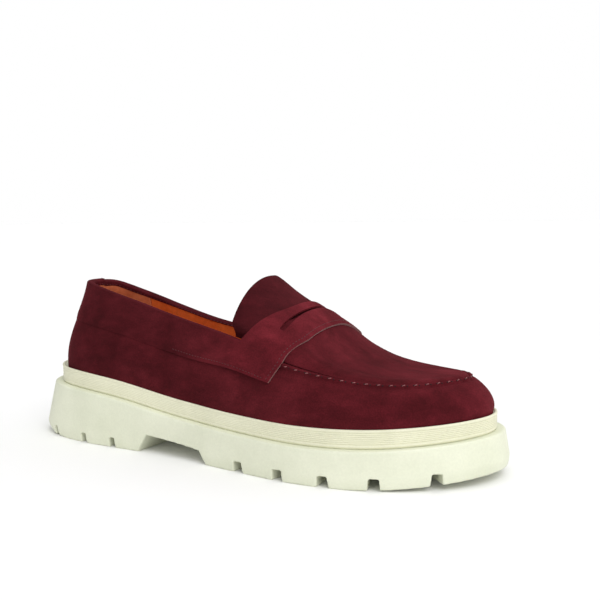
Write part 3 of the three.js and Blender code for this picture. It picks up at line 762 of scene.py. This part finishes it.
def lining_material(name, dark, light, nap):
    """Fine leather with creases and pores; nap makes it rougher."""
    s = Surface(name, Specular_IOR_Level=0.4)
    clouds = s.noise(22)
    pores = s.cells(0.8)
    creases = s.noise(3.2, detail=4, rough=0.65)
    base = s.ramp(clouds, (0.35, 0.68), linear(dark, light))
    s.shade(Base_Color=s.product(base, s.level(creases, 0.35, 0.65, 0.9, 1.1)),
            Roughness=s.level(creases, 0.35, 0.65, 0.42 + nap, 0.6 + nap))
    s.relief(creases, 0.25, 0.4)
    s.relief(pores, 0.08, 0.45)
    return s.material


def rubber_material(name, dark, light):
    """Moulded rubber with faint clouds and specks, and a fine grain."""
    s = Surface(name, Specular_IOR_Level=0.4)
    clouds = s.noise(30, detail=4, rough=0.6)
    specks = s.noise(1.2, detail=2)
    base = s.ramp(clouds, (0.3, 0.7), linear(dark, light))
    s.shade(Base_Color=s.product(base, s.level(specks, 0.3, 0.7, 0.97, 1.02)),
            Roughness=s.level(clouds, 0.3, 0.7, 0.42, 0.58))
    s.relief(clouds, 0.3, 0.2)
    s.relief(s.noise(0.4, detail=2), 0.05, 0.5)
    return s.material


def grained_material(name, dark, light, size, depth, detail=4, rough=0.65, roughness=0.85, **sockets):
    """One grain, in colour and in relief."""
    s = Surface(name, Roughness=roughness, **sockets)
    grain = s.noise(size, detail, rough)
    s.shade(Base_Color=s.ramp(grain, (0.35, 0.65), linear(dark, light)))
    s.relief(grain, depth, 0.6)
    return s.material


def thread_material(name, colour, sheen):
    # Painted shade: the thread's grain is darker in its hollows.
    dark = [int(c * THREAD_PAINTED_SHADE) for c in colour]
    return grained_material(name, dark, colour, 0.25, 0.08, 2, 0.55, 0.55, Sheen_Weight=sheen)


def cloth_material():
    """A plain weave."""
    s = Surface("lining_cloth", Roughness=0.85, Sheen_Weight=0.3)
    weave = s.math("MULTIPLY", s.waves(0.7, "X"), s.waves(0.7, "Y"))
    base = s.ramp(s.noise(18), (0.35, 0.65), linear((150, 120, 92), (176, 146, 116)))
    s.shade(Base_Color=s.product(base, s.level(weave, 0, 1, 0.82, 1.08)))
    s.relief(weave, 0.15, 0.6)
    return s.material


SUEDE_SHADES = (52, 11, 15), (68, 16, 22), (86, 24, 31)
# The tongue's suede is darker: painted shade of the throat under the strap.
SHADED_TONGUE_TONES = (44, 9, 13), (57, 13, 18), (72, 19, 25)

SUEDE = suede_material("suede", SUEDE_SHADES, PAINTED_LIGHT_BODY)
# The saddle's suede: more painted light, lighter from behind the strap and all over the strap.
SUEDE_SADDLE = suede_material("suede_saddle", SUEDE_SHADES, PAINTED_LIGHT_STRAP)
SUEDE_TONGUE = suede_material("suede_tongue", SHADED_TONGUE_TONES, PAINTED_LIGHT_BODY)
CUT_EDGE = grained_material("suede_cut_edge", (102, 47, 48), (142, 84, 80), 0.5, 0.15, 3, 0.55,
                            Sheen_Weight=0.2)
LINING = lining_material("lining_leather", (198, 92, 36), (226, 122, 58), 0.0)
SOCK = lining_material("sock_leather", (182, 88, 38), (208, 116, 60), 0.03)
HEEL_GRIP = lining_material("heel_grip_suede", (178, 96, 58), (208, 126, 84), 0.3)
SOLE = rubber_material("sole_rubber", (216, 219, 196), (229, 231, 210))
BAND = rubber_material("welt_rubber", (220, 219, 192), (231, 230, 205))
MOC_THREAD = thread_material("moc_thread", (150, 84, 86), 0.1)
FINE_THREAD = thread_material("fine_thread", (88, 30, 36), 0.05)
# Dark blobs at the moccasin stitches' ends: painted shade of the needle holes.
HOLE_SHADE = grained_material("needle_hole_shade", (24, 6, 8), (38, 11, 14), 0.5, 0.05, roughness=0.95)
CLOTH = cloth_material()


# ---- stitches

STITCH_SIDES = 8
STITCH_STEPS = 9
# How deep a stitch dips in times its radius, how much thinner its ends are, and its strands' depth and turn.
STITCH_DIP = 1.5
STITCH_TAPER = 0.45
TWIST_DEPTH = 0.16
TWIST_TURN = 5


def stitches(name, path, pitch, length, radius, lift, material, start=0.0, slant=0.0):
    """Separate twisted stitches along a path, each one dipping into the leather at both ends."""
    points, normals = path
    along = lengths_along(points)
    angle = 2 * np.pi * np.arange(STITCH_SIDES) / STITCH_SIDES
    t = np.linspace(0, 1, STITCH_STEPS)
    arch = np.sin(np.pi * t) ** 0.6
    girth = radius * (1 - STITCH_TAPER + STITCH_TAPER * arch)
    twist = 1 + TWIST_DEPTH * np.cos(2 * (angle[None, :] - TWIST_TURN * t[:, None]))
    step, side = (grid.ravel() for grid in pairs(np.arange(STITCH_STEPS - 1), np.arange(STITCH_SIDES)))
    here = step * STITCH_SIDES + side
    after = step * STITCH_SIDES + (side + 1) % STITCH_SIDES
    wall = np.stack([here, here + STITCH_SIDES, after + STITCH_SIDES, after], 1)
    lid = np.arange(STITCH_SIDES)
    far_lid = (lid + (STITCH_STEPS - 1) * STITCH_SIDES)[::-1]
    made_points, made_faces = [], []
    for first in np.arange(start, along[-1] - length, pitch):
        s = first + t * length
        centre = at_lengths(s, along, points)
        normal = unit(at_lengths(s, along, normals))
        across = unit(np.cross(normal, unit(np.gradient(centre, axis=0))))
        centre = centre + normal * (lift * arch - radius * STITCH_DIP * (1 - arch))[:, None]
        centre = centre + across * (slant * (t - 0.5))[:, None]
        ring = across[:, None] * np.cos(angle)[None, :, None] + normal[:, None] * np.sin(angle)[None, :, None]
        tube = centre[:, None] + ring * (girth[:, None] * twist)[..., None]
        base = len(made_points) * STITCH_SIDES * STITCH_STEPS
        made_points.append(tube.reshape(-1, 3))
        made_faces += [*(wall + base), lid + base, far_lid + base]
    made = mesh_object(name, np.vstack(made_points), made_faces)
    return finish_piece(made, [material], "thread")


# ---- upper

SEAM_START = float(feather.w_of(strap_front(1.0) - 4))


def seam_path_length():
    """Length along the moccasin seam from the strap's lateral front edge, as a function of ring."""
    rings = rings_between(0, 2, PATH_STEP)
    along = lengths_along(upper_points(rings, 1.0))
    start = np.interp(SEAM_START, rings, along)
    return lambda ring: np.interp(ring, rings, along) - start


seam_length = seam_path_length()


def in_front(ring):
    """1 in front of the strap, where the seam is a moccasin seam, fading to 0 behind it."""
    return smoothstep(*MOC_SEAM_FADE, upper_points(ring, 1.0)[..., 0])


def pucker(ring):
    """1 at each moccasin stitch, 0 halfway between."""
    return 0.5 + 0.5 * np.cos(2 * np.pi * (seam_length(ring) / MOC_PITCH - PUCKER_PHASE))


def back_seam(ring):
    """The dent of the closing seam down the back of the heel."""
    turn = np.mod(ring, 2)
    return swell(np.minimum(turn, 2 - turn), *BACK_SEAM)


def vamp_height(ring, rise):
    """How far the vamp's skin stands off the plain surface: its rolled, puckered and hollowed seam edge."""
    roll = swell(rise, *SEAM_ROLL) + swell(rise, *SEAM_HOLLOW)
    drawn = swell(rise, *VAMP_PUCKER) * pucker(ring)
    turned_in = -0.9 * smoothstep(0.985, 1.0, rise)
    return in_front(ring) * (roll + drawn + turned_in) + back_seam(ring)


def make_vamp():
    rows = runs(-0.03, (0, 1), (0.86, 33), (1.0, 21))
    ring, row = pairs(rings_between(0, 2, VAMP_STEP)[:-1], rows)
    rise = np.where(row > 0, row * (VAMP_TOP + VAMP_TOP_RISE * in_front(ring)), 0)
    points = upper_at(ring, rise, vamp_height(ring, rise))
    points[..., 2] -= np.where(row < 0, VAMP_HEM, 0)
    made = mesh_object("vamp_visual", points.reshape(-1, 3), grid_faces(*ring.shape, close_columns=True))
    thicken(made, *VAMP_SHEET)
    finish_piece(made, [SUEDE, CUT_EDGE], "suede", "vamp")


def apron_height(ring, rise):
    """The apron lies lower at the seam, swells just inside it, and tucks in under the vamp's edge."""
    edge = swell(rise, *APRON_SWELL) - 0.55 * smoothstep(1.09, 1.015, rise)
    tuck = 1.1 * smoothstep(1.012, 0.99, rise)
    return edge - tuck + swell(rise, *APRON_PUCKER) * pucker(ring)


def dome_grid(rows, behind, columns, height):
    """A grid over the forefoot from a line behind the strap's back edge to the toe."""
    fraction, rise = pairs(np.linspace(0, 2, 2 * columns + 1), rows)
    start = feather.w_of(strap_back(rise) + behind)
    medial = fraction > 1
    w = start + (1 - start) * np.where(medial, 2 - fraction, fraction)
    ring = np.where(medial, 2 - w, w)
    return upper_at(ring, rise, height(ring, rise))


def make_apron():
    grid = dome_grid(runs(0.988, (1.012, 4), (1.12, 13), (2.0, 43)), APRON_BEHIND, 150, apron_height)
    sheet_piece("apron", grid, APRON_SHEET, [SUEDE, CUT_EDGE], "suede")


def saddle_height(ring, rise):
    """The saddle's skin: full thickness at the strap, skived towards the heel, with a soft puff behind."""
    x = upper_points(ring, np.minimum(rise, 1.0))[..., 0]
    strap_x = upper_points(ring, rise)[..., 0]
    thickness = 0.75 + 0.85 * smoothstep(95, 158, x) + swell(strap_x, -0.35, strap_front(rise), 3)
    skived = smoothstep(150, 70, x) * swell(rise, -0.45, SADDLE_FOOT - SADDLE_FOOT_DROP, 0.04)
    side = np.where(np.mod(ring, 2) < 1, 1, MEDIAL_PUFF)
    puff = swell(x, *SADDLE_PUFF_ALONG) * swell(rise, *SADDLE_PUFF_UP) * side
    return thickness + skived + puff + back_seam(ring) * smoothstep(0.97, 0.9, rise)


def saddle_rise(ring, row):
    """The saddle's lower edge drops a little from the strap's corner towards the heel."""
    x = upper_points(ring, 1.0)[..., 0]
    drop = SADDLE_FOOT_DROP * smoothstep(170, 120, x)
    return row - drop * np.clip((SADDLE_TOP - row) / (SADDLE_TOP - SADDLE_FOOT), 0, 1)


fold_depth = through(FOLD_DEPTH)


def fold_rise(ring):
    """Where the suede folded in over the topline ends, inside the shoe."""
    x = upper_points(ring, SADDLE_TOP)[..., 0]
    return SADDLE_TOP - fold_depth(x)


def collar_arc(ring, angles):
    """Points round the topline's half ellipse: 0 degrees on the outer face, 90 on top, 180 inside."""
    level = np.full(ring.shape, SADDLE_TOP)
    point, normal = upper_frame(ring, level)
    up = unit(point - upper_points(ring, level - 0.02))
    outer = saddle_height(ring, level)
    centre, half = (outer + FOLD_HEIGHT) / 2, (outer - FOLD_HEIGHT) / 2
    made = []
    for angle in np.radians(angles):
        side = centre + half * math.cos(angle)
        lift = COLLAR_RISE * max(math.sin(angle), 0) ** 0.8
        made.append(point + normal * side[..., None] + up * lift)
    return np.stack(made, 1)


def saddle_grids(rows):
    """The saddle behind the strap, and the suede that rolls over the topline and is folded in behind it."""
    end = float(feather.w_of(strap_back(1.0)))
    rings = rings_between(-end, end, SADDLE_STEP)
    ring, row = pairs(rings, rows)
    rise = saddle_rise(ring, row)
    tail = upper_at(ring, rise, saddle_height(ring, rise))
    inside, down = pairs(rings, np.linspace(0, 1, 6))
    folded = upper_at(inside, SADDLE_TOP + (fold_rise(inside) - SADDLE_TOP) * down, FOLD_HEIGHT)
    over = collar_arc(rings, np.linspace(0, 180, 15)[1:-1])
    return tail, np.concatenate([tail[:, -1:], over, folded], 1)


def strap_grid(rows):
    """The strap from side to side over the instep, and which of its quads lie outside the slot."""
    roof = runs(SADDLE_TOP, (1.0, 2), (SLOT_END - 0.02, 17), (SLOT_END + 0.05, 8), (2.0, 29))
    signed = over_the_top(np.r_[rows, roof[1:]])
    shares = runs(0, (1, 8), (2, 5), (3, 13))
    share, sign_rise = pairs(shares, signed)
    rise = np.abs(sign_rise)
    back, slot_x, front = strap_back(rise), strap_slot(rise), strap_front(rise)
    before_slot = ((SLOT_END + SLOT_ROUND - rise) / SLOT_ROUND).clip(0, 1)
    half = (SLOT_WIDTH / 2 + swell(rise, *SLOT_SPREAD)) * np.sqrt(1 - before_slot**2)
    half = np.maximum(half, LEAST_SLOT_HALF)
    behind = back + share * (slot_x - half - back)
    across = slot_x + half * (2 * share - 3)
    ahead = slot_x + half + (share - 2) * (front - slot_x - half)
    x = np.where(share <= 1, behind, np.where(share <= 2, across, ahead))
    ring = ring_of(sign_rise < 0, x)
    in_slot = smoothstep(SLOT_END, SLOT_END + 0.1, rise)
    lip = swell(x, 0.45, slot_x + half + 1.2, 1.6) * in_slot
    sunk = swell(x, -0.35, slot_x - half - 0.8, 1.5) * in_slot
    laid = np.where(rise < SADDLE_TOP, saddle_rise(ring, rise), rise)
    strap = upper_at(ring, laid, saddle_height(ring, laid) + lip + sunk)
    open_rows = np.minimum(np.abs(signed[:-1]), np.abs(signed[1:])) >= SLOT_END
    middle = (shares[:-1] >= 1) & (shares[1:] <= 2)
    return strap, ~(middle[:, None] & open_rows[None, :])


def make_saddle_strap():
    rows = runs(SADDLE_FOOT, *SADDLE_ROWS)
    strap, keep = strap_grid(rows)
    made = grids_object("saddle_strap_visual", *saddle_grids(rows), strap, keep=keep)
    thicken(made, *STRAP_SHEET, edge_material=1)
    # Only the strap's front edge shows a pale cut; the rest of the edge is dark.
    for face in made.data.polygons:
        x, _, z = np.array(face.center) / MM + ORIGIN
        if x < PALE_EDGE_START or (x < PALE_TOP_START and z > PALE_TOP_HEIGHT):
            face.material_index = 0
    finish_piece(made, [SUEDE_SADDLE, CUT_EDGE], "suede", "saddle_strap")


def make_tongue():
    """The tongue, whose wings tuck in beside the topline, and its lining."""
    signed = over_the_top(runs(1.005, (1.2, 19), (2.0, 43)))
    share, sign_rise = pairs(np.linspace(0, 1, 26), signed)
    rise = np.abs(sign_rise)
    x = tongue_rear(rise) + share * (strap_back(rise) + TONGUE_TUCK - tongue_rear(rise))
    ring = ring_of(sign_rise < 0, x)
    under = smoothstep(-1, 6, x - strap_back(rise))
    wing = -WING_TUCK * smoothstep(1.17, 1.01, rise)
    crown = 0.25 + swell(rise, *TONGUE_CROWN) * smoothstep(0.5, 0.0, share) - TONGUE_DIP * under
    skin = upper_at(ring, rise, crown + wing)
    back = upper_at(ring, rise, wing - TONGUE_LINING_DEPTH)[1:-7]
    return (
        sheet_piece("tongue", skin, TONGUE_SHEET, [SUEDE_TONGUE], "suede", body=None),
        sheet_piece("tongue_lining", back, TONGUE_LINING_SHEET, [LINING], "lining_leather", body=None),
    )


def bend_tongue(*pieces):
    """Bakes each piece's transform into its mesh."""
    for piece in pieces:
        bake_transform(piece)


# ---- linings and footbed

def lining_grid(start, end):
    """A lining panel that runs up behind the suede folded in over the topline."""
    ring, share = pairs(rings_between(start, end, LINING_STEP), np.linspace(0, 1, 40))
    return upper_at(ring, share * (fold_rise(ring) + LINING_OVERLAP), LINING_HEIGHT)


def make_linings():
    grip = float(feather.w_of(HEEL_GRIP_END))
    far = float(feather.w_of(LINING_END))
    for side, start, end in (("lateral", grip + BUTT_GAP, far), ("medial", 2 - far, 2 - grip - BUTT_GAP)):
        grid = lining_grid(start, end)
        sheet_piece(f"quarter_lining_{side}", grid, LINING_SHEET, [LINING], "lining_leather")
    sheet_piece("heel_grip", lining_grid(-grip, grip), GRIP_SHEET, [HEEL_GRIP], "heel_grip_suede")


def make_vamp_lining():
    """The cloth lining: it meets the quarter linings on the walls and stays under the strap above them."""
    rows = runs(0, (1, 29), (2, 29))
    behind = 5.0 * smoothstep(0.86, 0.96, rows) - 0.8
    grid = dome_grid(rows, behind[None, :], 90, lambda ring, rise: LINING_HEIGHT)
    sheet_piece("vamp_lining", grid, LINING_SHEET, [CLOTH], "textile_lining")


def make_sock_lining():
    """The footbed's leather cover: cupped a little, with a rounded edge."""
    draw_in = through(PLATE_DRAW_IN)(feather_points[:, 0])
    outline = Outline(offset_outline(feather_points, -SOCK_WITHIN - draw_in)).ring(SOCK_POINTS)
    rings = []
    for share, height in SOCK_LEVELS:
        lengthwise = 0.2 + 0.8 * share if share < 0.9 else share
        ring = SOCK_MIDDLE + (outline - SOCK_MIDDLE) * (lengthwise, share)
        rings.append(np.c_[ring, feather_height(ring[:, 0]) + height])
    points, faces, columns, rows = wall_of(rings)
    faces.append([i * rows for i in range(columns)][::-1])
    faces.append([i * rows + rows - 1 for i in range(columns)])
    made = mesh_object("sock_lining_visual", points, faces)
    finish_piece(made, [SOCK], "lining_leather", "sock_lining")


# ---- stitching

def make_stitching():
    inset = SEAM_START + 0.012
    rings = rings_between(inset, 2 - inset, PATH_STEP)
    rise = np.full(rings.shape, MOC_SEAM_RISE)
    path = path_on_upper(rings, rise, vamp_height(rings, rise) + 0.2)
    thread = stitches("moc_seam_stitches", path, MOC_PITCH, 1.9, 0.26, 0.06, MOC_THREAD, slant=0.6)
    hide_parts("moc_seam_thread")
    # Painted shade: dark blobs, mostly sunk in, where the needle holes are.
    for end, start in (("near", MOC_PITCH - 0.55), ("far", 2.45)):
        stitches(f"needle_holes_{end}", path, MOC_PITCH, 0.9, 0.34, -0.16, HOLE_SHADE, start=start)

    signed = over_the_top(runs(0.64, (1, 59), (2, 139)))
    rise = np.abs(signed)
    rings = ring_of(signed < 0, strap_front(rise) - 2.2)
    path = path_on_upper(rings, rise, saddle_height(rings, rise))
    edge = stitches("strap_edge_stitches", path, FINE_PITCH, 1.4, 0.2, 0.05, FINE_THREAD)
    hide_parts("saddle_thread")

    for side, medial in (("lateral", False), ("medial", True)):
        rings = ring_of(medial, np.linspace(112, 184, 400))
        rise = saddle_rise(rings, np.full(rings.shape, SADDLE_FOOT + 0.045))
        path = path_on_upper(rings, rise, saddle_height(rings, rise))
        stitches(f"saddle_stitches_{side}", path, FINE_PITCH, 1.4, 0.17, 0.03, FINE_THREAD)

    far = float(feather.w_of(LINING_END - 2))
    rings = rings_between(-far, far, PATH_STEP)
    inside, normal = path_on_upper(rings, fold_rise(rings) + 0.014, FOLD_HEIGHT)
    stitches("lining_stitches", (inside, -normal), LINING_PITCH, 1.6, 0.17, 0.0, FINE_THREAD)


# ---- sole

def make_welt():
    """The ribbed band of the unit sole: a groove at its foot, fine ribs, and a raised lip round its top."""
    base = Outline(welt_points).ring(BAND_POINTS)
    low = ledge_height(base[:, 0])
    high = feather_height(base[:, 0]) + 0.35
    rib_low, rib_high = low + BAND_FOOT[-1][0], high + BAND_LIP[0][0]
    rib_depth = 0.1 + 0.3 * smoothstep(150, 235, base[:, 0])
    profile = [(low + z, out) for z, out in [(BAND_FOOT[1][0], BAND_BACK)] + BAND_FOOT]
    for step in range(RIBS * RIB_STEPS):
        turn = 2 * math.pi * (step % RIB_STEPS) / RIB_STEPS
        share = (step // RIB_STEPS + step % RIB_STEPS / RIB_STEPS) / RIBS
        groove = -(0.5 - 0.5 * math.cos(turn)) ** 0.7
        profile.append((rib_low + (rib_high - rib_low) * share, groove * rib_depth))
    profile += [(high + z, out) for z, out in BAND_LIP + [(-1.0, -4.0), (-1.0, BAND_BACK)]]
    points, faces, columns, rows = wall_of([np.c_[offset_outline(base, out), z] for z, out in profile])
    for i in range(columns):
        here, after = i * rows, (i + 1) % columns * rows
        faces.append([here + rows - 1, after + rows - 1, after, here])
    made = mesh_object("welt_band", points, faces)
    finish_piece(made, [BAND], "sole_rubber", "midsole_welt")


def prism(outline, low, high):
    """Points and faces of a solid over an anticlockwise outline in x and z that runs from y low to y high."""
    count = len(outline)
    points = [(x, y, z) for y in (low, high) for x, z in outline]
    faces = [list(range(count)), [count + i for i in reversed(range(count))]]
    for i in range(count):
        after = (i + 1) % count
        faces.append([i, count + i, count + after, after])
    return np.array(points, float), faces


def tread_cutters():
    """Every cut in the tread, as points and faces: the arch, the notches in the rim, and the grooves."""
    cutters = [prism(ARCH, -ARCH_REACH, ARCH_REACH)]
    for x, width in NOTCHES:
        half = width / 2
        foot = half + NOTCH_DRAFT
        outline = [(-foot, -CUT_PAST), (foot, -CUT_PAST), (half, NOTCH_HEIGHT), (-half, NOTCH_HEIGHT)]
        for medial in (False, True):
            w = ledge.w_of(x)
            here, after, before = (ledge.at(np.array(medial), w + d) for d in (0, 0.01, -0.01))
            angle = math.atan2(*(after - before)[::-1])
            c, s = math.cos(angle), math.sin(angle)
            turn = np.array([[c, s, 0], [-s, c, 0], [0, 0, 1]])
            reach = (-NOTCH_LENGTH, NOTCH_OVERHANG) if medial else (-NOTCH_OVERHANG, NOTCH_LENGTH)
            points, faces = prism(outline, *reach)
            cutters.append((points @ turn + [*here, ground_height(x)], faces))
    half = TREAD_GROOVE / 2
    grooves = [(x0, x1, y - half, y + half) for x0, x1, y in GROOVES_ALONG]
    grooves += [(x - half, x + half, y0, y1) for x, y0, y1 in GROOVES_ACROSS]
    for x0, x1, y0, y1 in grooves:
        outline = [(x0, -CUT_PAST), (x1, -CUT_PAST), (x1, TREAD_DEPTH), (x0, TREAD_DEPTH)]
        cutters.append(prism(outline, y0, y1))
    return cutters


def make_outsole():
    """The outsole: a flared, bevelled block with its tread cut out, remeshed so that every edge is soft."""
    x = ledge_points[:, 0]
    bevel = TREAD_BEVEL[0] + (TREAD_BEVEL[1] - TREAD_BEVEL[0]) * heel_share(x)
    wall = flare(x)
    levels = [
        (wall - bevel * (1 - share) ** 1.7, ground_height, TREAD_BEVEL_HEIGHT * share)
        for share in (0, 0.35, 0.7, 1.0)
    ]
    levels += [(wall * 0.08, ledge_height, -0.7), (-0.1, ledge_height, -0.25), (-0.7, ledge_height, 0.0)]
    rings = []
    for out, height, above in levels:
        ring = Outline(offset_outline(ledge_points, out)).ring(OUTSOLE_POINTS)
        rings.append(np.c_[ring, height(ring[:, 0]) + above])
    points, faces, columns, rows = wall_of(rings)
    for row, flip in ((0, True), (rows - 1, False)):
        for i in range(OUTSOLE_POINTS):
            corners = [i, i + 1, columns - i - 1, (columns - i) % columns]
            face = list(dict.fromkeys(c * rows + row for c in corners))
            faces.append(face[::-1] if flip else face)
    made = mesh_object("outsole_visual", points, faces)
    for points, faces in tread_cutters():
        cutter = mesh_object("cutter", points, faces)
        modify(made, "BOOLEAN", operation="DIFFERENCE", solver="EXACT", object=cutter)
        bpy.data.objects.remove(cutter)
    modify(made, "REMESH", mode="VOXEL", voxel_size=SOLE_VOXEL * MM, use_smooth_shade=True)
    modify(made, "SMOOTH", factor=0.5, iterations=2)
    finish_piece(made, [SOLE], "sole_rubber", "outsole")


# ---- hidden pieces kept from the CAD

def dress_hidden_pieces():
    """Gives each CAD node that keeps its shape a material of its own."""
    foam = (206, 196, 176), (232, 224, 206)
    sheet = (196, 188, 170), (222, 214, 196)
    looks = {
        "bottom_filler": grained_material("cork", (120, 84, 50), (186, 148, 100), 1.6, 0.4),
        "shank": grained_material("shank_steel", (120, 122, 126), (158, 160, 164), 0.4, 0.03,
                                  roughness=0.38, Metallic=1.0),
        "insole_board": grained_material("fibre_board", (118, 88, 56), (150, 118, 80), 0.8, 0.1),
        "footbed_foam": grained_material("footbed_foam", (214, 204, 178), (236, 228, 206), 0.7, 0.2),
        "heel_counter": grained_material("counter_sheet", *sheet, 1.2, 0.1),
        "toe_puff": grained_material("puff_sheet", *sheet, 1.2, 0.1),
        "collar_foam": grained_material("collar_foam", *foam, 0.7, 0.2),
    }
    for node, look in looks.items():
        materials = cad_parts[node].data.materials
        materials.clear()
        materials.append(look)


# ---- stage, light and camera

# The camera's place, in design millimetres, its turns in degrees, and its lens and sensor in millimetres.
CAMERA_PLACE = (448.0, -465.8, 140.8)
CAMERA_AZIMUTH = 30.0
CAMERA_DOWN = 5.26
CAMERA_ROLL = -0.51
CAMERA_LENS = 55.6
CAMERA_SENSOR = 36
# The floor's half width in metres, and its paper's darkest and lightest grey.
FLOOR_HALF = 15.0
PAPER = (0.93, 0.95)
# The direction that the studio's light grows towards, and its least and greatest strength.
BRIGHT_SIDE = (1.0, -0.36, 0.45)
WORLD_LIGHT = (0.09, 1.08)
# Each sun: the direction it shines from, its strength and its spread in degrees.
SUNS = {"key": ((0.62, -0.5, 0.9), 1.05, 35), "top": ((-0.1, 0.25, 1.0), 0.5, 70)}


def make_camera():
    camera = add_object("camera", bpy.data.cameras.new("camera"))
    camera.data.lens = CAMERA_LENS
    camera.data.sensor_width = CAMERA_SENSOR
    turn = Matrix.Rotation(math.radians(CAMERA_AZIMUTH), 4, "Z")
    tilt = Matrix.Rotation(math.radians(90 - CAMERA_DOWN), 4, "X")
    roll = Matrix.Rotation(math.radians(CAMERA_ROLL), 4, "Z")
    camera.matrix_world = Matrix.Translation(Vector(to_frame(CAMERA_PLACE))) @ turn @ tilt @ roll
    bpy.context.scene.camera = camera


def make_floor():
    corners = [(x * FLOOR_HALF, y * FLOOR_HALF, 0) for x, y in ((-1, -1), (1, -1), (1, 1), (-1, 1))]
    mesh = bpy.data.meshes.new("floor")
    mesh.from_pydata(corners, [], [(0, 1, 2, 3)])
    paper = Surface("floor_paper", Roughness=0.9)
    greys = [(grey, grey, grey, 1) for grey in PAPER]
    paper.shade(Base_Color=paper.ramp(paper.noise(300), (0.3, 0.7), greys))
    mesh.materials.append(paper.material)
    add_object("floor", mesh)


def make_world():
    """A studio that looks white, and lights the shoe more from above and from the toe's side."""
    world = bpy.data.worlds.new("studio")
    world.use_nodes = True
    tree = world.node_tree
    direction = add_node(tree, "TexCoord", "Generated")
    toward = Vector(BRIGHT_SIDE).normalized()
    facing = add_node(tree, "VectorMath", "Value", {0: direction, 1: toward}, operation="DOT_PRODUCT")
    strength = add_node(tree, "MapRange", 0, enumerate((facing, -1.0, 1.0, *WORLD_LIGHT)))
    white = (1, 1, 1, 1)
    glow = add_node(tree, "Background", 0, {"Color": white, "Strength": strength})
    plain = add_node(tree, "Background", 0, {"Color": white})
    seen = add_node(tree, "LightPath", "Is Camera Ray")
    both = add_node(tree, "MixShader", 0, enumerate((seen, glow, plain)))
    tree.links.new(both, tree.nodes["World Output"].inputs["Surface"])
    bpy.context.scene.world = world


def sun_light(name, toward, strength, spread):
    """A soft light that shines from the direction toward."""
    light = add_object(name, bpy.data.lights.new(name, "SUN"))
    light.data.energy = strength
    light.data.angle = math.radians(spread)
    light.rotation_euler = Vector(toward).to_track_quat("Z", "Y").to_euler()


def make_stage():
    make_floor()
    make_world()
    for name, sun in SUNS.items():
        sun_light(name, *sun)
    bpy.context.scene.view_settings.view_transform = "Standard"


# ---- build

make_camera()
make_stage()
make_outsole()
make_welt()
make_vamp()
make_apron()
make_saddle_strap()
bend_tongue(*make_tongue())
make_linings()
make_vamp_lining()
make_sock_lining()
make_stitching()
dress_hidden_pieces()
